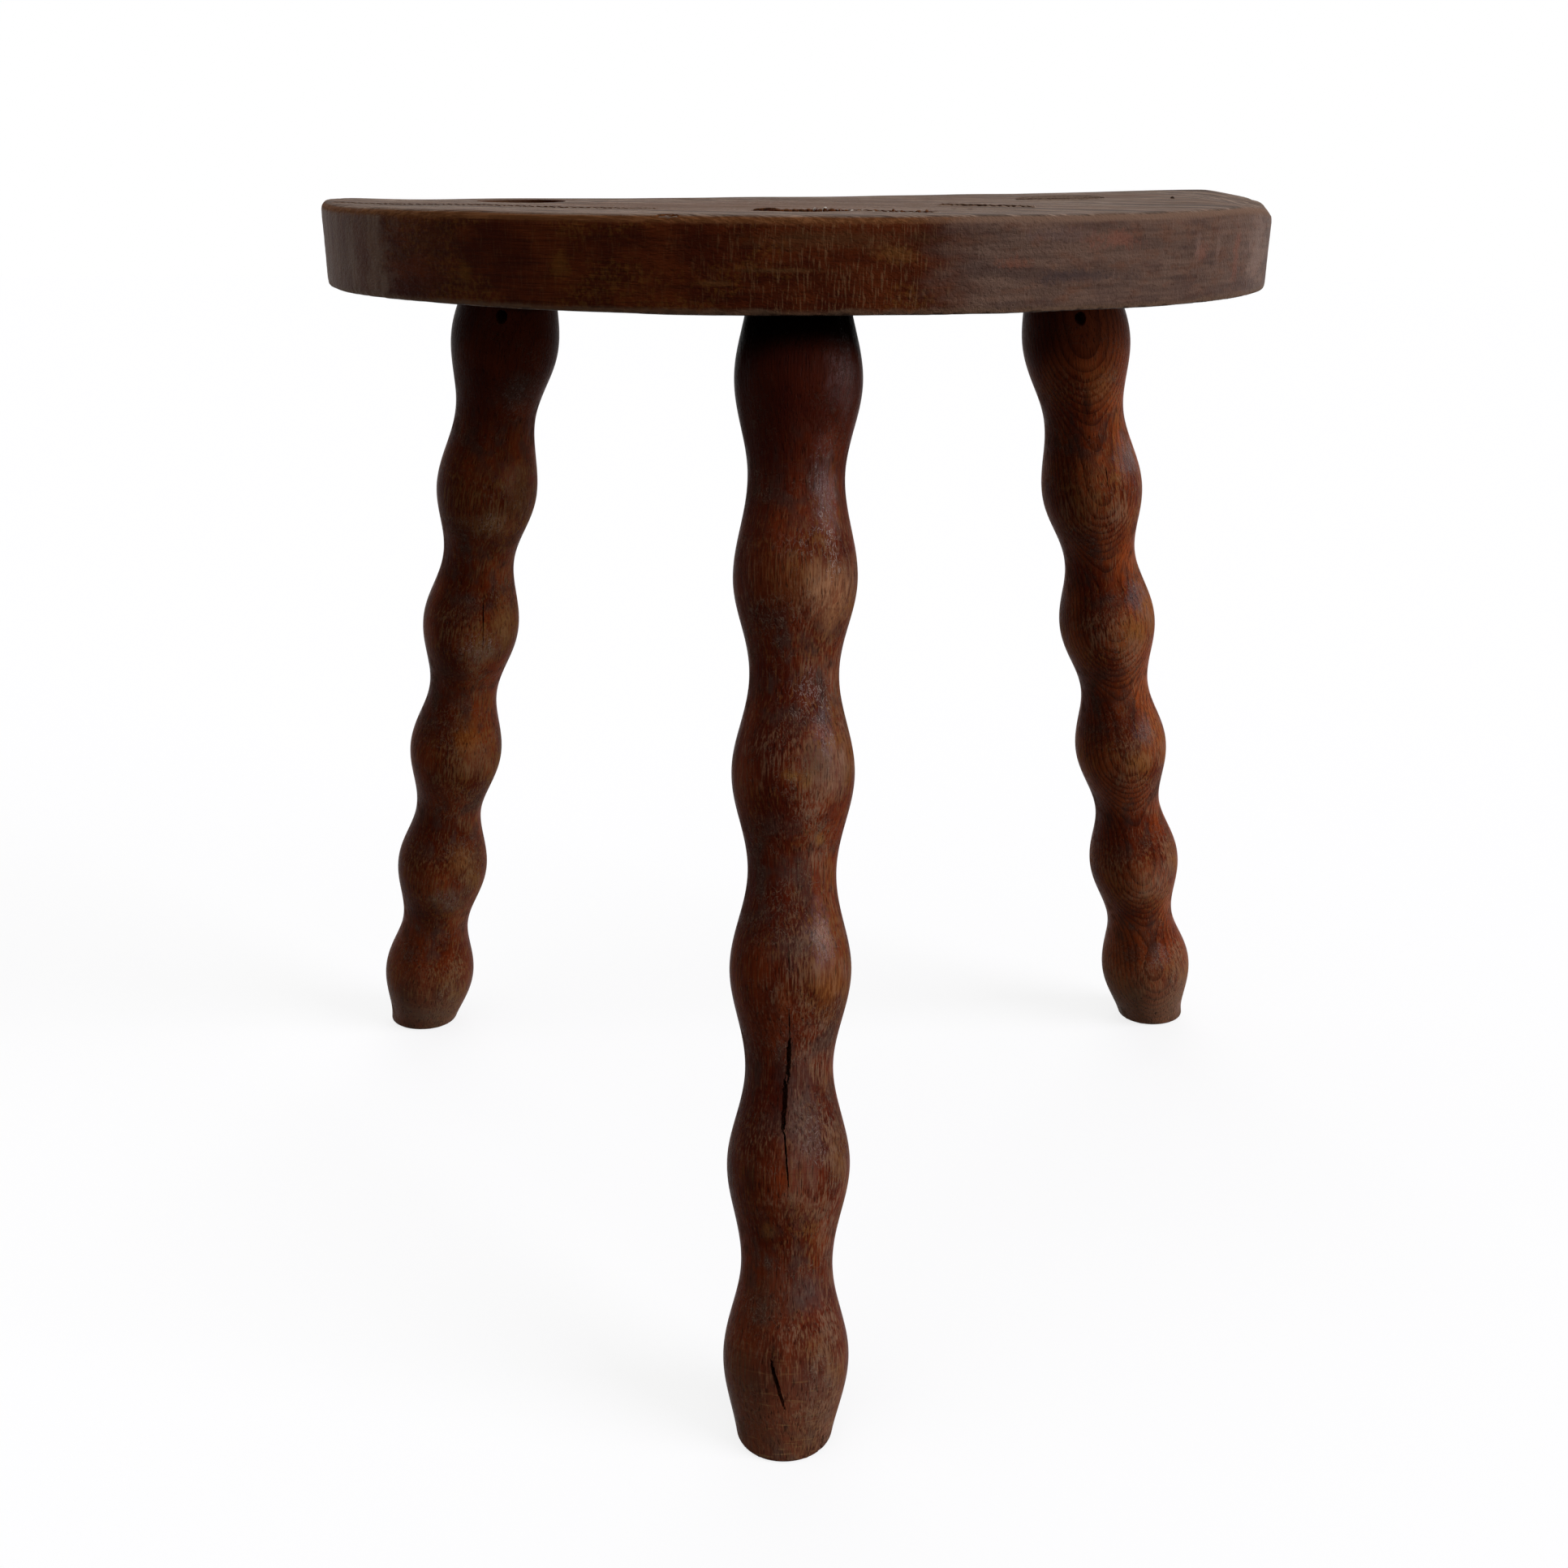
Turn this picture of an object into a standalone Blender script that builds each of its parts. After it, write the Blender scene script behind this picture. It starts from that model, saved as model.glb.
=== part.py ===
"""Half-moon milking stool with three bobbin-turned legs.

The plank seat is straight at the back and round at the front. Each leg is one turning whose upper end is a
round tenon that goes right through the seat, spread by a wedge and held by a slanted nail. Units are metres,
+Z is up, the curved front faces -Y, and the origin is on the floor under the middle of the stool.
"""

import math

import bmesh
import bpy
from mathutils import Matrix, Vector

MM = 0.001

# Seat plank
SEAT_HEIGHT = 380 * MM
SEAT_THICKNESS = 29.5 * MM
SEAT_RADIUS = 179 * MM
SEAT_DEPTH = 194 * MM
SEAT_CORNER_RADIUS = 9 * MM
SEAT_TOP_ARRIS = 3.5 * MM
SEAT_LOWER_ARRIS = 1 * MM
SEAT_UNDERCUT = 1 * MM

# Each leg's axis at the underside: across from the middle, and in from the seat's front or back edge
FRONT_LEG_ACROSS = -1 * MM
FRONT_LEG_SET_BACK = 39 * MM
LEFT_LEG_ACROSS = -108.5 * MM
RIGHT_LEG_ACROSS = 104 * MM
REAR_LEG_INSET = 33.5 * MM

# How each leg was bored, by eye: splay leans its foot to the right, rake leans its foot to the back
FRONT_LEG_SPLAY = math.radians(-0.7)
FRONT_LEG_RAKE = math.radians(-16.4)
LEFT_LEG_SPLAY = math.radians(-11.1)
LEFT_LEG_RAKE = math.radians(14.7)
RIGHT_LEG_SPLAY = math.radians(11.6)
RIGHT_LEG_RAKE = math.radians(15.4)

# Turning, from the seat down
BOBBIN_DIAMETERS = [41.5 * MM, 40.5 * MM, 40 * MM, 39.5 * MM, 40 * MM, 41 * MM]
NECK_DIAMETERS = [31.5 * MM, 29 * MM, 28.5 * MM, 28.5 * MM, 29.5 * MM, 30 * MM]
BOBBIN_PITCH = 63.3 * MM
FIRST_BOBBIN_DROP = 22.8 * MM
TENON_DIAMETER = 32 * MM
FOOT_ROUNDING = 3 * MM
FOOT_ROUNDING_ARC = math.radians(75)

# Wedge in the tenon's saw kerf
WEDGE_LENGTH = 21 * MM
WEDGE_THICK_END = 3.4 * MM
WEDGE_THIN_END = 1 * MM
KERF_ROOT_SPACE = 0.7 * MM

# Slanted nail through the top of each leg
NAIL_LENGTH = 44 * MM
NAIL_SHANK_DIAMETER = 3 * MM
NAIL_HEAD_DIAMETER = 3.8 * MM
NAIL_HEAD_HEIGHT = 1.6 * MM
NAIL_POINT_LENGTH = 4.5 * MM
NAIL_DROP = 7.5 * MM
NAIL_RISE = math.radians(22)
NAIL_HEAD_SINK = 5 * MM

# Gap left between pieces that touch, and the distance within which points are one
FIT_GAP = 0.3 * MM
WELD_DISTANCE = 0.01 * MM

# Facets
FLAT_ANGLE = math.radians(0.05)
SHARP_ANGLE = math.radians(40)
LEG_STEPS = 24
NAIL_STEPS = 12
POINTS_PER_BOBBIN = 8
SEAT_ARC_STEPS = 56
CORNER_STEPS = 4
ROUNDING_STEPS = 3

# Sizes that follow from the ones above
UNDERSIDE_HEIGHT = SEAT_HEIGHT - SEAT_THICKNESS
REAR_LEG_SET_BACK = SEAT_DEPTH - REAR_LEG_INSET
TENON_RADIUS = TENON_DIAMETER / 2
TRIM_REACH = 2 * SEAT_RADIUS
TRIM_MARGIN = SEAT_THICKNESS
BOWL_FLARE = 2


def leg_run_back(splay, rake):
    """How far the foot lies behind the leg's seat hole."""
    return UNDERSIDE_HEIGHT * math.tan(rake) / math.cos(splay)


def leg_run_across(splay):
    """How far the foot lies to the right of the leg's seat hole."""
    return UNDERSIDE_HEIGHT * math.tan(splay)


def front_edge_place():
    """Y of the seat's front edge, with the feet as far before the origin as behind it."""
    front = FRONT_LEG_SET_BACK + leg_run_back(FRONT_LEG_SPLAY, FRONT_LEG_RAKE)
    left = REAR_LEG_SET_BACK + leg_run_back(LEFT_LEG_SPLAY, LEFT_LEG_RAKE)
    right = REAR_LEG_SET_BACK + leg_run_back(RIGHT_LEG_SPLAY, RIGHT_LEG_RAKE)
    return -(front + max(left, right)) / 2


FRONT_EDGE_Y = front_edge_place()


# Scene, collections and materials

def clear_scene():
    for item in list(bpy.data.objects):
        bpy.data.objects.remove(item, do_unlink=True)


def new_collection(name):
    collection = bpy.data.collections.new(name)
    bpy.context.scene.collection.children.link(collection)
    return collection


def new_material(name, colour, roughness, metallic=0.0):
    material = bpy.data.materials.new(name)
    material.use_nodes = True
    shader = material.node_tree.nodes["Principled BSDF"]
    shader.inputs["Base Color"].default_value = (*colour, 1.0)
    shader.inputs["Roughness"].default_value = roughness
    shader.inputs["Metallic"].default_value = metallic
    material.diffuse_color = (*colour, 1.0)
    return material


def add_object(name, mesh, collection, parent=None, matrix=None):
    item = bpy.data.objects.new(name, mesh)
    collection.objects.link(item)
    item.parent = parent
    if matrix is not None:
        item.matrix_local = matrix
    return item


def make_cutter(item):
    item.hide_render = True
    item.display_type = "WIRE"
    return item


def cut(item, name, cutter, operation="DIFFERENCE"):
    modifier = item.modifiers.new(name, "BOOLEAN")
    modifier.operation = operation
    modifier.solver = "EXACT"
    modifier.object = cutter


def shade_round(mesh):
    mesh.shade_smooth()
    mesh.set_sharp_from_angle(angle=SHARP_ANGLE)


# Turned forms: a profile of (radius, height) points from top to bottom, spun about Z

def turned(name, profile, steps, collection, parent=None, matrix=None):
    mesh = bpy.data.meshes.new(name)
    points = [(radius, 0.0, height) for radius, height in profile]
    edges = [(index, index + 1) for index in range(len(points) - 1)]
    mesh.from_pydata(points, edges, [])
    item = add_object(name, mesh, collection, parent, matrix)
    screw = item.modifiers.new("turning", "SCREW")
    screw.axis = "Z"
    screw.angle = math.tau
    screw.steps = steps
    screw.render_steps = steps
    screw.use_merge_vertices = True
    screw.merge_threshold = WELD_DISTANCE
    screw.use_smooth_shade = True
    return item


def turning_stations():
    """Heights below the seat and radii of the tenon's root, then of each bobbin and the neck under it."""
    stations = [(FIRST_BOBBIN_DROP - BOBBIN_PITCH / 2, TENON_RADIUS)]
    for index, (bobbin, neck) in enumerate(zip(BOBBIN_DIAMETERS, NECK_DIAMETERS)):
        drop = FIRST_BOBBIN_DROP + index * BOBBIN_PITCH
        stations.append((drop, bobbin / 2))
        stations.append((drop + BOBBIN_PITCH / 2, neck / 2))
    return stations


def turned_radius(drop):
    """Leg radius at a distance below the seat along the leg: round swells that flow into round necks."""
    stations = turning_stations()
    if drop <= stations[0][0]:
        return stations[0][1]
    for (upper, upper_radius), (lower, lower_radius) in zip(stations, stations[1:]):
        if drop <= lower:
            share = (drop - upper) / (lower - upper)
            blend = (1 - math.cos(math.pi * share)) / 2
            return upper_radius + (lower_radius - upper_radius) * blend
    return stations[-1][1]


def leg_profile(first_drop, last_drop, grow=0.0):
    spacing = BOBBIN_PITCH / POINTS_PER_BOBBIN
    count = math.ceil((last_drop - first_drop) / spacing)
    drops = [first_drop + (last_drop - first_drop) * index / count for index in range(count + 1)]
    outside = [(turned_radius(drop) + grow, -drop) for drop in drops]
    return [(0.0, -first_drop)] + outside + [(0.0, -last_drop)]


# Seat

def seat_outline():
    """Half-moon outline, from the right rear corner round the front to the left rear corner."""
    centre = Vector((0.0, FRONT_EDGE_Y + SEAT_RADIUS))
    back = FRONT_EDGE_Y + SEAT_DEPTH
    corner_y = back - SEAT_CORNER_RADIUS
    corner_reach = SEAT_RADIUS - SEAT_CORNER_RADIUS
    corner_x = math.sqrt(corner_reach ** 2 - (corner_y - centre.y) ** 2)
    corner = Vector((corner_x, corner_y))
    join = math.atan2(corner.y - centre.y, corner.x)
    points = []
    for index in range(CORNER_STEPS):
        angle = math.pi / 2 + (join - math.pi / 2) * index / CORNER_STEPS
        points.append(corner + SEAT_CORNER_RADIUS * Vector((math.cos(angle), math.sin(angle))))
    for index in range(SEAT_ARC_STEPS + 1):
        angle = join - (math.pi + 2 * join) * index / SEAT_ARC_STEPS
        points.append(centre + SEAT_RADIUS * Vector((math.cos(angle), math.sin(angle))))
    for index in range(1, CORNER_STEPS + 1):
        angle = math.pi - join + (math.pi / 2 - (math.pi - join)) * index / CORNER_STEPS
        mirrored = Vector((-corner.x, corner.y))
        points.append(mirrored + SEAT_CORNER_RADIUS * Vector((math.cos(angle), math.sin(angle))))
    return points


def seat_blank():
    """The flat half-moon, extruded to the plank's thickness, as a mesh."""
    curve = bpy.data.curves.new("seat_outline", "CURVE")
    curve.dimensions = "2D"
    curve.fill_mode = "BOTH"
    curve.extrude = SEAT_THICKNESS / 2
    outline = seat_outline()
    spline = curve.splines.new("POLY")
    spline.points.add(len(outline) - 1)
    for point, place in zip(spline.points, outline):
        point.co = (place.x, place.y, 0.0, 1.0)
    spline.use_cyclic_u = True
    guide = add_object("seat_outline", curve, bpy.context.scene.collection)
    bpy.context.view_layer.update()
    evaluated = guide.evaluated_get(bpy.context.evaluated_depsgraph_get())
    mesh = bpy.data.meshes.new_from_object(evaluated)
    bpy.data.objects.remove(guide, do_unlink=True)
    return mesh


def shape_seat_blank(mesh):
    """Closes the blank, draws its lower rim in, and weights the rims for rounding."""
    shape = bmesh.new()
    shape.from_mesh(mesh)
    bmesh.ops.remove_doubles(shape, verts=shape.verts, dist=WELD_DISTANCE)
    bmesh.ops.dissolve_limit(shape, angle_limit=FLAT_ANGLE, verts=shape.verts, edges=shape.edges)
    bmesh.ops.recalc_face_normals(shape, faces=shape.faces)
    centre_y = FRONT_EDGE_Y + SEAT_RADIUS
    draw_in = 1 - SEAT_UNDERCUT / SEAT_RADIUS
    weights = shape.edges.layers.float.new("bevel_weight_edge")
    for vertex in shape.verts:
        if vertex.co.z < 0:
            vertex.co.x *= draw_in
            vertex.co.y = centre_y + (vertex.co.y - centre_y) * draw_in
    for edge in shape.edges:
        heights = [vertex.co.z for vertex in edge.verts]
        if min(heights) > 0:
            edge[weights] = 1.0
        elif max(heights) < 0:
            edge[weights] = SEAT_LOWER_ARRIS / SEAT_TOP_ARRIS
    for vertex in shape.verts:
        vertex.co.z += SEAT_HEIGHT - SEAT_THICKNESS / 2
    shape.to_mesh(mesh)
    shape.free()


def build_seat(parts, material):
    mesh = seat_blank()
    shape_seat_blank(mesh)
    mesh.materials.clear()
    mesh.materials.append(material)
    shade_round(mesh)
    seat = add_object("seat", mesh, parts)
    rounding = seat.modifiers.new("worn_arrises", "BEVEL")
    rounding.limit_method = "WEIGHT"
    rounding.width = SEAT_TOP_ARRIS
    rounding.segments = ROUNDING_STEPS
    return seat


# Legs, each modelled about its own axis with the seat's underside at height zero

def leg_axis(name, across, set_back, splay, rake, cutters):
    empty = bpy.data.objects.new(name + "_axis", None)
    cutters.objects.link(empty)
    empty.location = (across, FRONT_EDGE_Y + set_back, UNDERSIDE_HEIGHT)
    empty.rotation_euler = (rake, -splay, 0.0)
    empty.empty_display_size = TENON_DIAMETER
    return empty


def leg_length(height, splay, rake):
    """Length along the leg's axis that spans an upright height."""
    return height / (math.cos(splay) * math.cos(rake))


def top_trim(cutters):
    """Block above the seat, which trims the tenons and wedges flush."""
    mesh = bpy.data.meshes.new("flush_trim")
    shape = bmesh.new()
    bmesh.ops.create_cube(shape, size=1.0)
    size = Vector((2 * TRIM_REACH, 2 * TRIM_REACH, 2 * TRIM_MARGIN))
    bmesh.ops.scale(shape, vec=size, verts=shape.verts)
    bmesh.ops.translate(shape, vec=(0.0, 0.0, SEAT_HEIGHT + TRIM_MARGIN), verts=shape.verts)
    shape.to_mesh(mesh)
    shape.free()
    return make_cutter(add_object("flush_trim", mesh, cutters))


def foot_trim(name, across, set_back, splay, rake, cutters):
    """Bowl that the leg stands in: flat on the floor, with the foot's worn lower edge."""
    foot_radius = turned_radius(leg_length(UNDERSIDE_HEIGHT, splay, rake))
    rounding_centre = foot_radius - FOOT_ROUNDING
    worn_edge = []
    for index in range(ROUNDING_STEPS + 1):
        angle = FOOT_ROUNDING_ARC * (1 - index / ROUNDING_STEPS)
        radius = rounding_centre + FOOT_ROUNDING * math.sin(angle)
        height = FOOT_ROUNDING * (1 - math.cos(angle))
        worn_edge.append((radius, height))
    bowl_height = SEAT_HEIGHT + TRIM_MARGIN
    rim = [(0.0, bowl_height), (BOWL_FLARE * bowl_height, bowl_height)]
    profile = rim + worn_edge + [(0.0, 0.0)]
    place = Vector((across, FRONT_EDGE_Y + set_back, 0.0))
    place.x += leg_run_across(splay)
    place.y += leg_run_back(splay, rake)
    bowl = turned(name + "_foot_trim", profile, LEG_STEPS, cutters, None, Matrix.Translation(place))
    return make_cutter(bowl)


def wedge_mesh(name, top, thick_end, thin_end, root, width):
    """Flat taper, thick at the tenon's end and thin at the kerf's root, lying along X."""
    mesh = bpy.data.meshes.new(name)
    shape = bmesh.new()
    bmesh.ops.create_cube(shape, size=1.0)
    slope = (thick_end - thin_end) / WEDGE_LENGTH
    over = thick_end + slope * TRIM_MARGIN
    for vertex in shape.verts:
        upper = vertex.co.z > 0
        side = 1 if vertex.co.y > 0 else -1
        vertex.co.x *= width
        vertex.co.y = side * (over if upper else thin_end) / 2
        vertex.co.z = top + TRIM_MARGIN if upper else root
    shape.to_mesh(mesh)
    shape.free()
    return mesh


def build_wedge(name, axis, splay, rake, trims, parts, cutters, material):
    """The wedge, and the kerf that it fills."""
    top = leg_length(SEAT_THICKNESS, splay, rake)
    root = top - WEDGE_LENGTH
    mesh = wedge_mesh(name, top, WEDGE_THICK_END, WEDGE_THIN_END, root, 2 * TENON_DIAMETER)
    mesh.materials.append(material)
    wedge = add_object(name, mesh, parts, axis)
    sleeve_profile = leg_profile(-(top + 2 * TRIM_MARGIN), -root + TRIM_MARGIN / 2)
    sleeve = turned(name + "_sleeve", sleeve_profile, LEG_STEPS, cutters, axis)
    cut(wedge, "tenon_side", make_cutter(sleeve), "INTERSECT")
    cut(wedge, "flush_top", trims)
    kerf_thick = WEDGE_THICK_END + 2 * FIT_GAP
    kerf_thin = WEDGE_THIN_END + 2 * FIT_GAP
    kerf = wedge_mesh(name + "_kerf", top, kerf_thick, kerf_thin, root - KERF_ROOT_SPACE, 2 * TENON_DIAMETER)
    return make_cutter(add_object(name + "_kerf", kerf, cutters, axis))


def nail_profile(grow, mouth):
    """Lost-head nail along Z, its head's top at zero and its point below, with room for the punch above."""
    head = NAIL_HEAD_DIAMETER / 2 + grow
    shank = NAIL_SHANK_DIAMETER / 2 + grow
    neck = -NAIL_HEAD_HEIGHT - grow
    shoulder = -(NAIL_LENGTH - NAIL_POINT_LENGTH)
    point = -NAIL_LENGTH - 2 * grow
    return [(0.0, mouth), (head, mouth), (head, neck), (shank, neck), (shank, shoulder), (0.0, point)]


def nail_place(inner_side):
    """The nail's frame about the leg: driven from the leg's inner side, up and outward into the seat."""
    entry = Vector((0.0, inner_side * turned_radius(NAIL_DROP), -NAIL_DROP))
    drive = Vector((0.0, -inner_side * math.cos(NAIL_RISE), math.sin(NAIL_RISE)))
    turn = drive.to_track_quat("-Z", "X").to_matrix().to_4x4()
    return Matrix.Translation(entry + drive * NAIL_HEAD_SINK) @ turn


def build_nail(name, axis, inner_side, parts, cutters, material):
    """The nail, and the hole that it is sunk in."""
    place = nail_place(inner_side)
    nail = turned(name, nail_profile(0.0, 0.0), NAIL_STEPS, parts, axis, place)
    nail.data.materials.append(material)
    hole = turned(name + "_hole", nail_profile(FIT_GAP, TENON_RADIUS), NAIL_STEPS, cutters, axis, place)
    return make_cutter(hole)


def build_leg(prefix, across, set_back, splay, rake, inner_side, seat, trims, parts, cutters, finishes):
    """One leg with its socket in the seat, its wedge and its nail."""
    axis = leg_axis(prefix, across, set_back, splay, rake, cutters)
    above = leg_length(SEAT_THICKNESS, splay, rake) + TRIM_MARGIN
    below = leg_length(UNDERSIDE_HEIGHT, splay, rake) + TRIM_MARGIN
    leg = turned(prefix + "_leg", leg_profile(-above, below), LEG_STEPS, parts, axis)
    leg.data.materials.append(finishes["leg"])
    socket = turned(prefix + "_socket", leg_profile(-above, TENON_RADIUS, FIT_GAP), LEG_STEPS, cutters, axis)
    kerf = build_wedge(prefix + "_wedge", axis, splay, rake, trims, parts, cutters, finishes["wedge"])
    hole = build_nail(prefix + "_nail", axis, inner_side, parts, cutters, finishes["nail"])
    cut(seat, prefix + "_socket", make_cutter(socket))
    cut(seat, prefix + "_nail_hole", hole)
    cut(leg, "flush_top", trims)
    cut(leg, "worn_foot", foot_trim(prefix, across, set_back, splay, rake, cutters), "INTERSECT")
    cut(leg, "kerf", kerf)
    cut(leg, "nail_hole", hole)


def main():
    clear_scene()
    parts = new_collection("milking_stool")
    cutters = new_collection("milking_stool_cutters")
    finishes = {
        "seat": new_material("aged_elm", (0.085, 0.045, 0.028), 0.55),
        "leg": new_material("stained_beech", (0.105, 0.027, 0.012), 0.42),
        "wedge": new_material("oak_wedge", (0.15, 0.085, 0.045), 0.6),
        "nail": new_material("iron_nail", (0.045, 0.04, 0.038), 0.6, 0.9),
    }
    seat = build_seat(parts, finishes["seat"])
    trims = top_trim(cutters)
    toward_back = 1
    toward_front = -1
    rear = REAR_LEG_SET_BACK
    legs = [
        ("front", FRONT_LEG_ACROSS, FRONT_LEG_SET_BACK, FRONT_LEG_SPLAY, FRONT_LEG_RAKE, toward_back),
        ("left_rear", LEFT_LEG_ACROSS, rear, LEFT_LEG_SPLAY, LEFT_LEG_RAKE, toward_front),
        ("right_rear", RIGHT_LEG_ACROSS, rear, RIGHT_LEG_SPLAY, RIGHT_LEG_RAKE, toward_front),
    ]
    for prefix, across, set_back, splay, rake, inner_side in legs:
        build_leg(prefix, across, set_back, splay, rake, inner_side, seat, trims, parts, cutters, finishes)
    bpy.context.view_layer.update()


main()
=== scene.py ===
from math import asin, atan2, cos, pi, radians, sin, sqrt, tau

import bpy
from mathutils import Euler, Matrix, Vector


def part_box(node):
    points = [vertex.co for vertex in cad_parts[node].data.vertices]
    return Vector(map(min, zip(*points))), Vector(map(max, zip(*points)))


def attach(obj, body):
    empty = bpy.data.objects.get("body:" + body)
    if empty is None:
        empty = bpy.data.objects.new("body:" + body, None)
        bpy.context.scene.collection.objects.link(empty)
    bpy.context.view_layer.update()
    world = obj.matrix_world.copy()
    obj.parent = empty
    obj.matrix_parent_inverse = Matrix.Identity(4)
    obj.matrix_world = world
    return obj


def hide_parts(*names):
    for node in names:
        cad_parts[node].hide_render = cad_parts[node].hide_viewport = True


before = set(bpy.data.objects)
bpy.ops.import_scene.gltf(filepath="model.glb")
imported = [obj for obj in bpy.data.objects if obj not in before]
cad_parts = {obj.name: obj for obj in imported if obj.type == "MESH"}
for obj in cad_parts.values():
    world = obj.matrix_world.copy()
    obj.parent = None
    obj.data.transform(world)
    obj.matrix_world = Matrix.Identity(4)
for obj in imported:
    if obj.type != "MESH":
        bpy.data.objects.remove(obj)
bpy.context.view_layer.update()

mm = 0.001


# general helpers

def deselect():
    bpy.ops.object.select_all(action="DESELECT")


def activate(piece):
    deselect()
    piece.select_set(True)
    bpy.context.view_layer.objects.active = piece


def linkIn(item):
    bpy.context.scene.collection.objects.link(item)


def edit(piece, kind="VERT", action="SELECT"):
    # edit mode, with all or nothing selected
    activate(piece)
    bpy.ops.object.mode_set(mode="EDIT")
    bpy.ops.mesh.select_mode(type=kind)
    bpy.ops.mesh.select_all(action=action)


def leaveEdit():
    bpy.ops.object.mode_set(mode="OBJECT")


def pick(piece, kind, test):
    # edit mode, with only the wanted vertices, edges or faces selected
    edit(piece, kind, "DESELECT")
    leaveEdit()
    parts = {"VERT": piece.data.vertices, "EDGE": piece.data.edges, "FACE": piece.data.polygons}[kind]
    for part in parts:
        part.select = test(part)
    bpy.ops.object.mode_set(mode="EDIT")


def pickLevel(piece, level, near):
    # edges that lie at one height
    points = piece.data.vertices
    pick(piece, "EDGE", lambda edge: all(
        abs((piece.matrix_world @ points[i].co).z - level) < near for i in edge.vertices))


def faceOutwards():
    # all faces turned outwards, as the last step in edit mode
    bpy.ops.mesh.select_all(action="SELECT")
    bpy.ops.mesh.normals_make_consistent(inside=False)
    leaveEdit()


def discard(piece):
    bpy.data.objects.remove(piece, do_unlink=True)


def finishWith(piece, kind, **settings):
    modifier = piece.modifiers.new(kind.lower(), kind)
    for name, value in settings.items():
        setattr(modifier, name, value)
    activate(piece)
    bpy.ops.object.modifier_apply(modifier=modifier.name)


def carve(piece, cutter, operation="DIFFERENCE"):
    finishWith(piece, "BOOLEAN", object=cutter, operation=operation, solver="MANIFOLD")
    discard(cutter)


def joinAll(pieces):
    deselect()
    for piece in pieces:
        piece.select_set(True)
    bpy.context.view_layer.objects.active = pieces[0]
    bpy.ops.object.join()
    return pieces[0]


def settle(piece):
    activate(piece)
    bpy.ops.object.transform_apply(location=True, rotation=True, scale=True)


def startVertex(place):
    # one lone vertex to draw an outline from, in edit mode
    deselect()
    bpy.ops.mesh.primitive_plane_add(size=mm, location=place)
    bpy.ops.object.mode_set(mode="EDIT")
    bpy.ops.mesh.select_mode(type="VERT")
    bpy.ops.mesh.merge(type="CENTER")
    return bpy.context.object


raggedSides = {
    # how far the vertices of cuts and crumbs are shaken, as a share of their size, and each kind's first seed
    "split": (0.45, 3), "pit": (0.15, 21), "crumb": (0.15, 40), "crack": (0.35, 7),
}


def makeRagged(piece, kind, size, count):
    share, firstSeed = raggedSides[kind]
    settle(piece)
    edit(piece)
    bpy.ops.transform.vertex_random(offset=share * size * mm, seed=firstSeed + count)
    leaveEdit()
    return piece


def roughen(piece, name, strength, grainSize, stretch, depth):
    # shallow lumps from a cloud pattern, drawn out along the grain by the guide's scale
    clouds = bpy.data.textures.new(name, "CLOUDS")
    clouds.noise_scale = 1.0
    clouds.noise_depth = depth
    guide = bpy.data.objects.new(name + "Guide", None)
    linkIn(guide)
    guide.scale = [grainSize * factor for factor in stretch]
    bpy.context.view_layer.update()
    finishWith(piece, "DISPLACE", texture=clouds, texture_coords="OBJECT", texture_coords_object=guide,
               strength=strength, mid_level=0.5)
    discard(guide)


# seat: a half-moon plank, warped and worn

seatLow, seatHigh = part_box("seat")
seatPlank = {
    "radius": seatHigh.x, "corner": 9 * mm, "arris": 3 * mm, "lowerArris": 1 * mm, "undercut": 1 * mm,
    "voxel": 1.5 * mm,
    # lumps of wear and raised grain: height, width, how far they are drawn out along each axis, detail
    "handWear": (0.9 * mm, 45 * mm, (1.6, 1, 1), 1), "raisedGrain": (0.22 * mm, 4 * mm, (14, 1, 1), 1),
}
seatCage = {
    # the top's back edge has risen towards its right end, in mm at the middle and at the right
    "columns": 13, "rows": 5, "middleLift": 1.4, "rightLift": 4.9,
    # where sitting and handling have worn the top down: column from the left, row from the front, mm
    "worn": {(12, 2): 2.0, (12, 3): 5.4, (11, 4): -0.3, (10, 4): -0.3, (0, 3): -0.8, (0, 4): -0.6},
    # the right back corner is knocked down: its place, the knock's radius, depth and reach, in mm
    "corner": (178, 186), "cornerKnock": 3, "cornerDrop": 2.2, "cornerReach": 18,
}
seatTop = seatHigh.z
seatUnder = seatLow.z
seatFront = seatLow.y
seatBack = seatHigh.y
seatCentreY = seatFront + seatPlank["radius"]


def drawSeatBlank():
    corner = seatPlank["corner"]
    cornerY = seatBack - corner
    reach = seatPlank["radius"] - corner
    cornerX = sqrt(reach ** 2 - (cornerY - seatCentreY) ** 2)
    joinAngle = atan2(cornerY - seatCentreY, cornerX)
    cornerTurn = pi / 2 - joinAngle
    seat = startVertex((cornerX, seatBack, seatUnder))
    frontTurn = pi + 2 * joinAngle
    for steps, angle, x, y in ((8, cornerTurn, cornerX, cornerY), (240, frontTurn, 0, seatCentreY),
                               (8, cornerTurn, -cornerX, cornerY)):
        bpy.ops.mesh.spin(steps=steps, angle=angle, center=(x, y, seatUnder), axis=(0, 0, 1))
    bpy.ops.mesh.select_all(action="SELECT")
    bpy.ops.mesh.edge_face_add()
    bpy.ops.mesh.extrude_region_move(TRANSFORM_OT_translate={"value": (0, 0, seatTop - seatUnder)})
    faceOutwards()
    seat.name = "seatPlank"
    settle(seat)
    return seat


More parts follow.
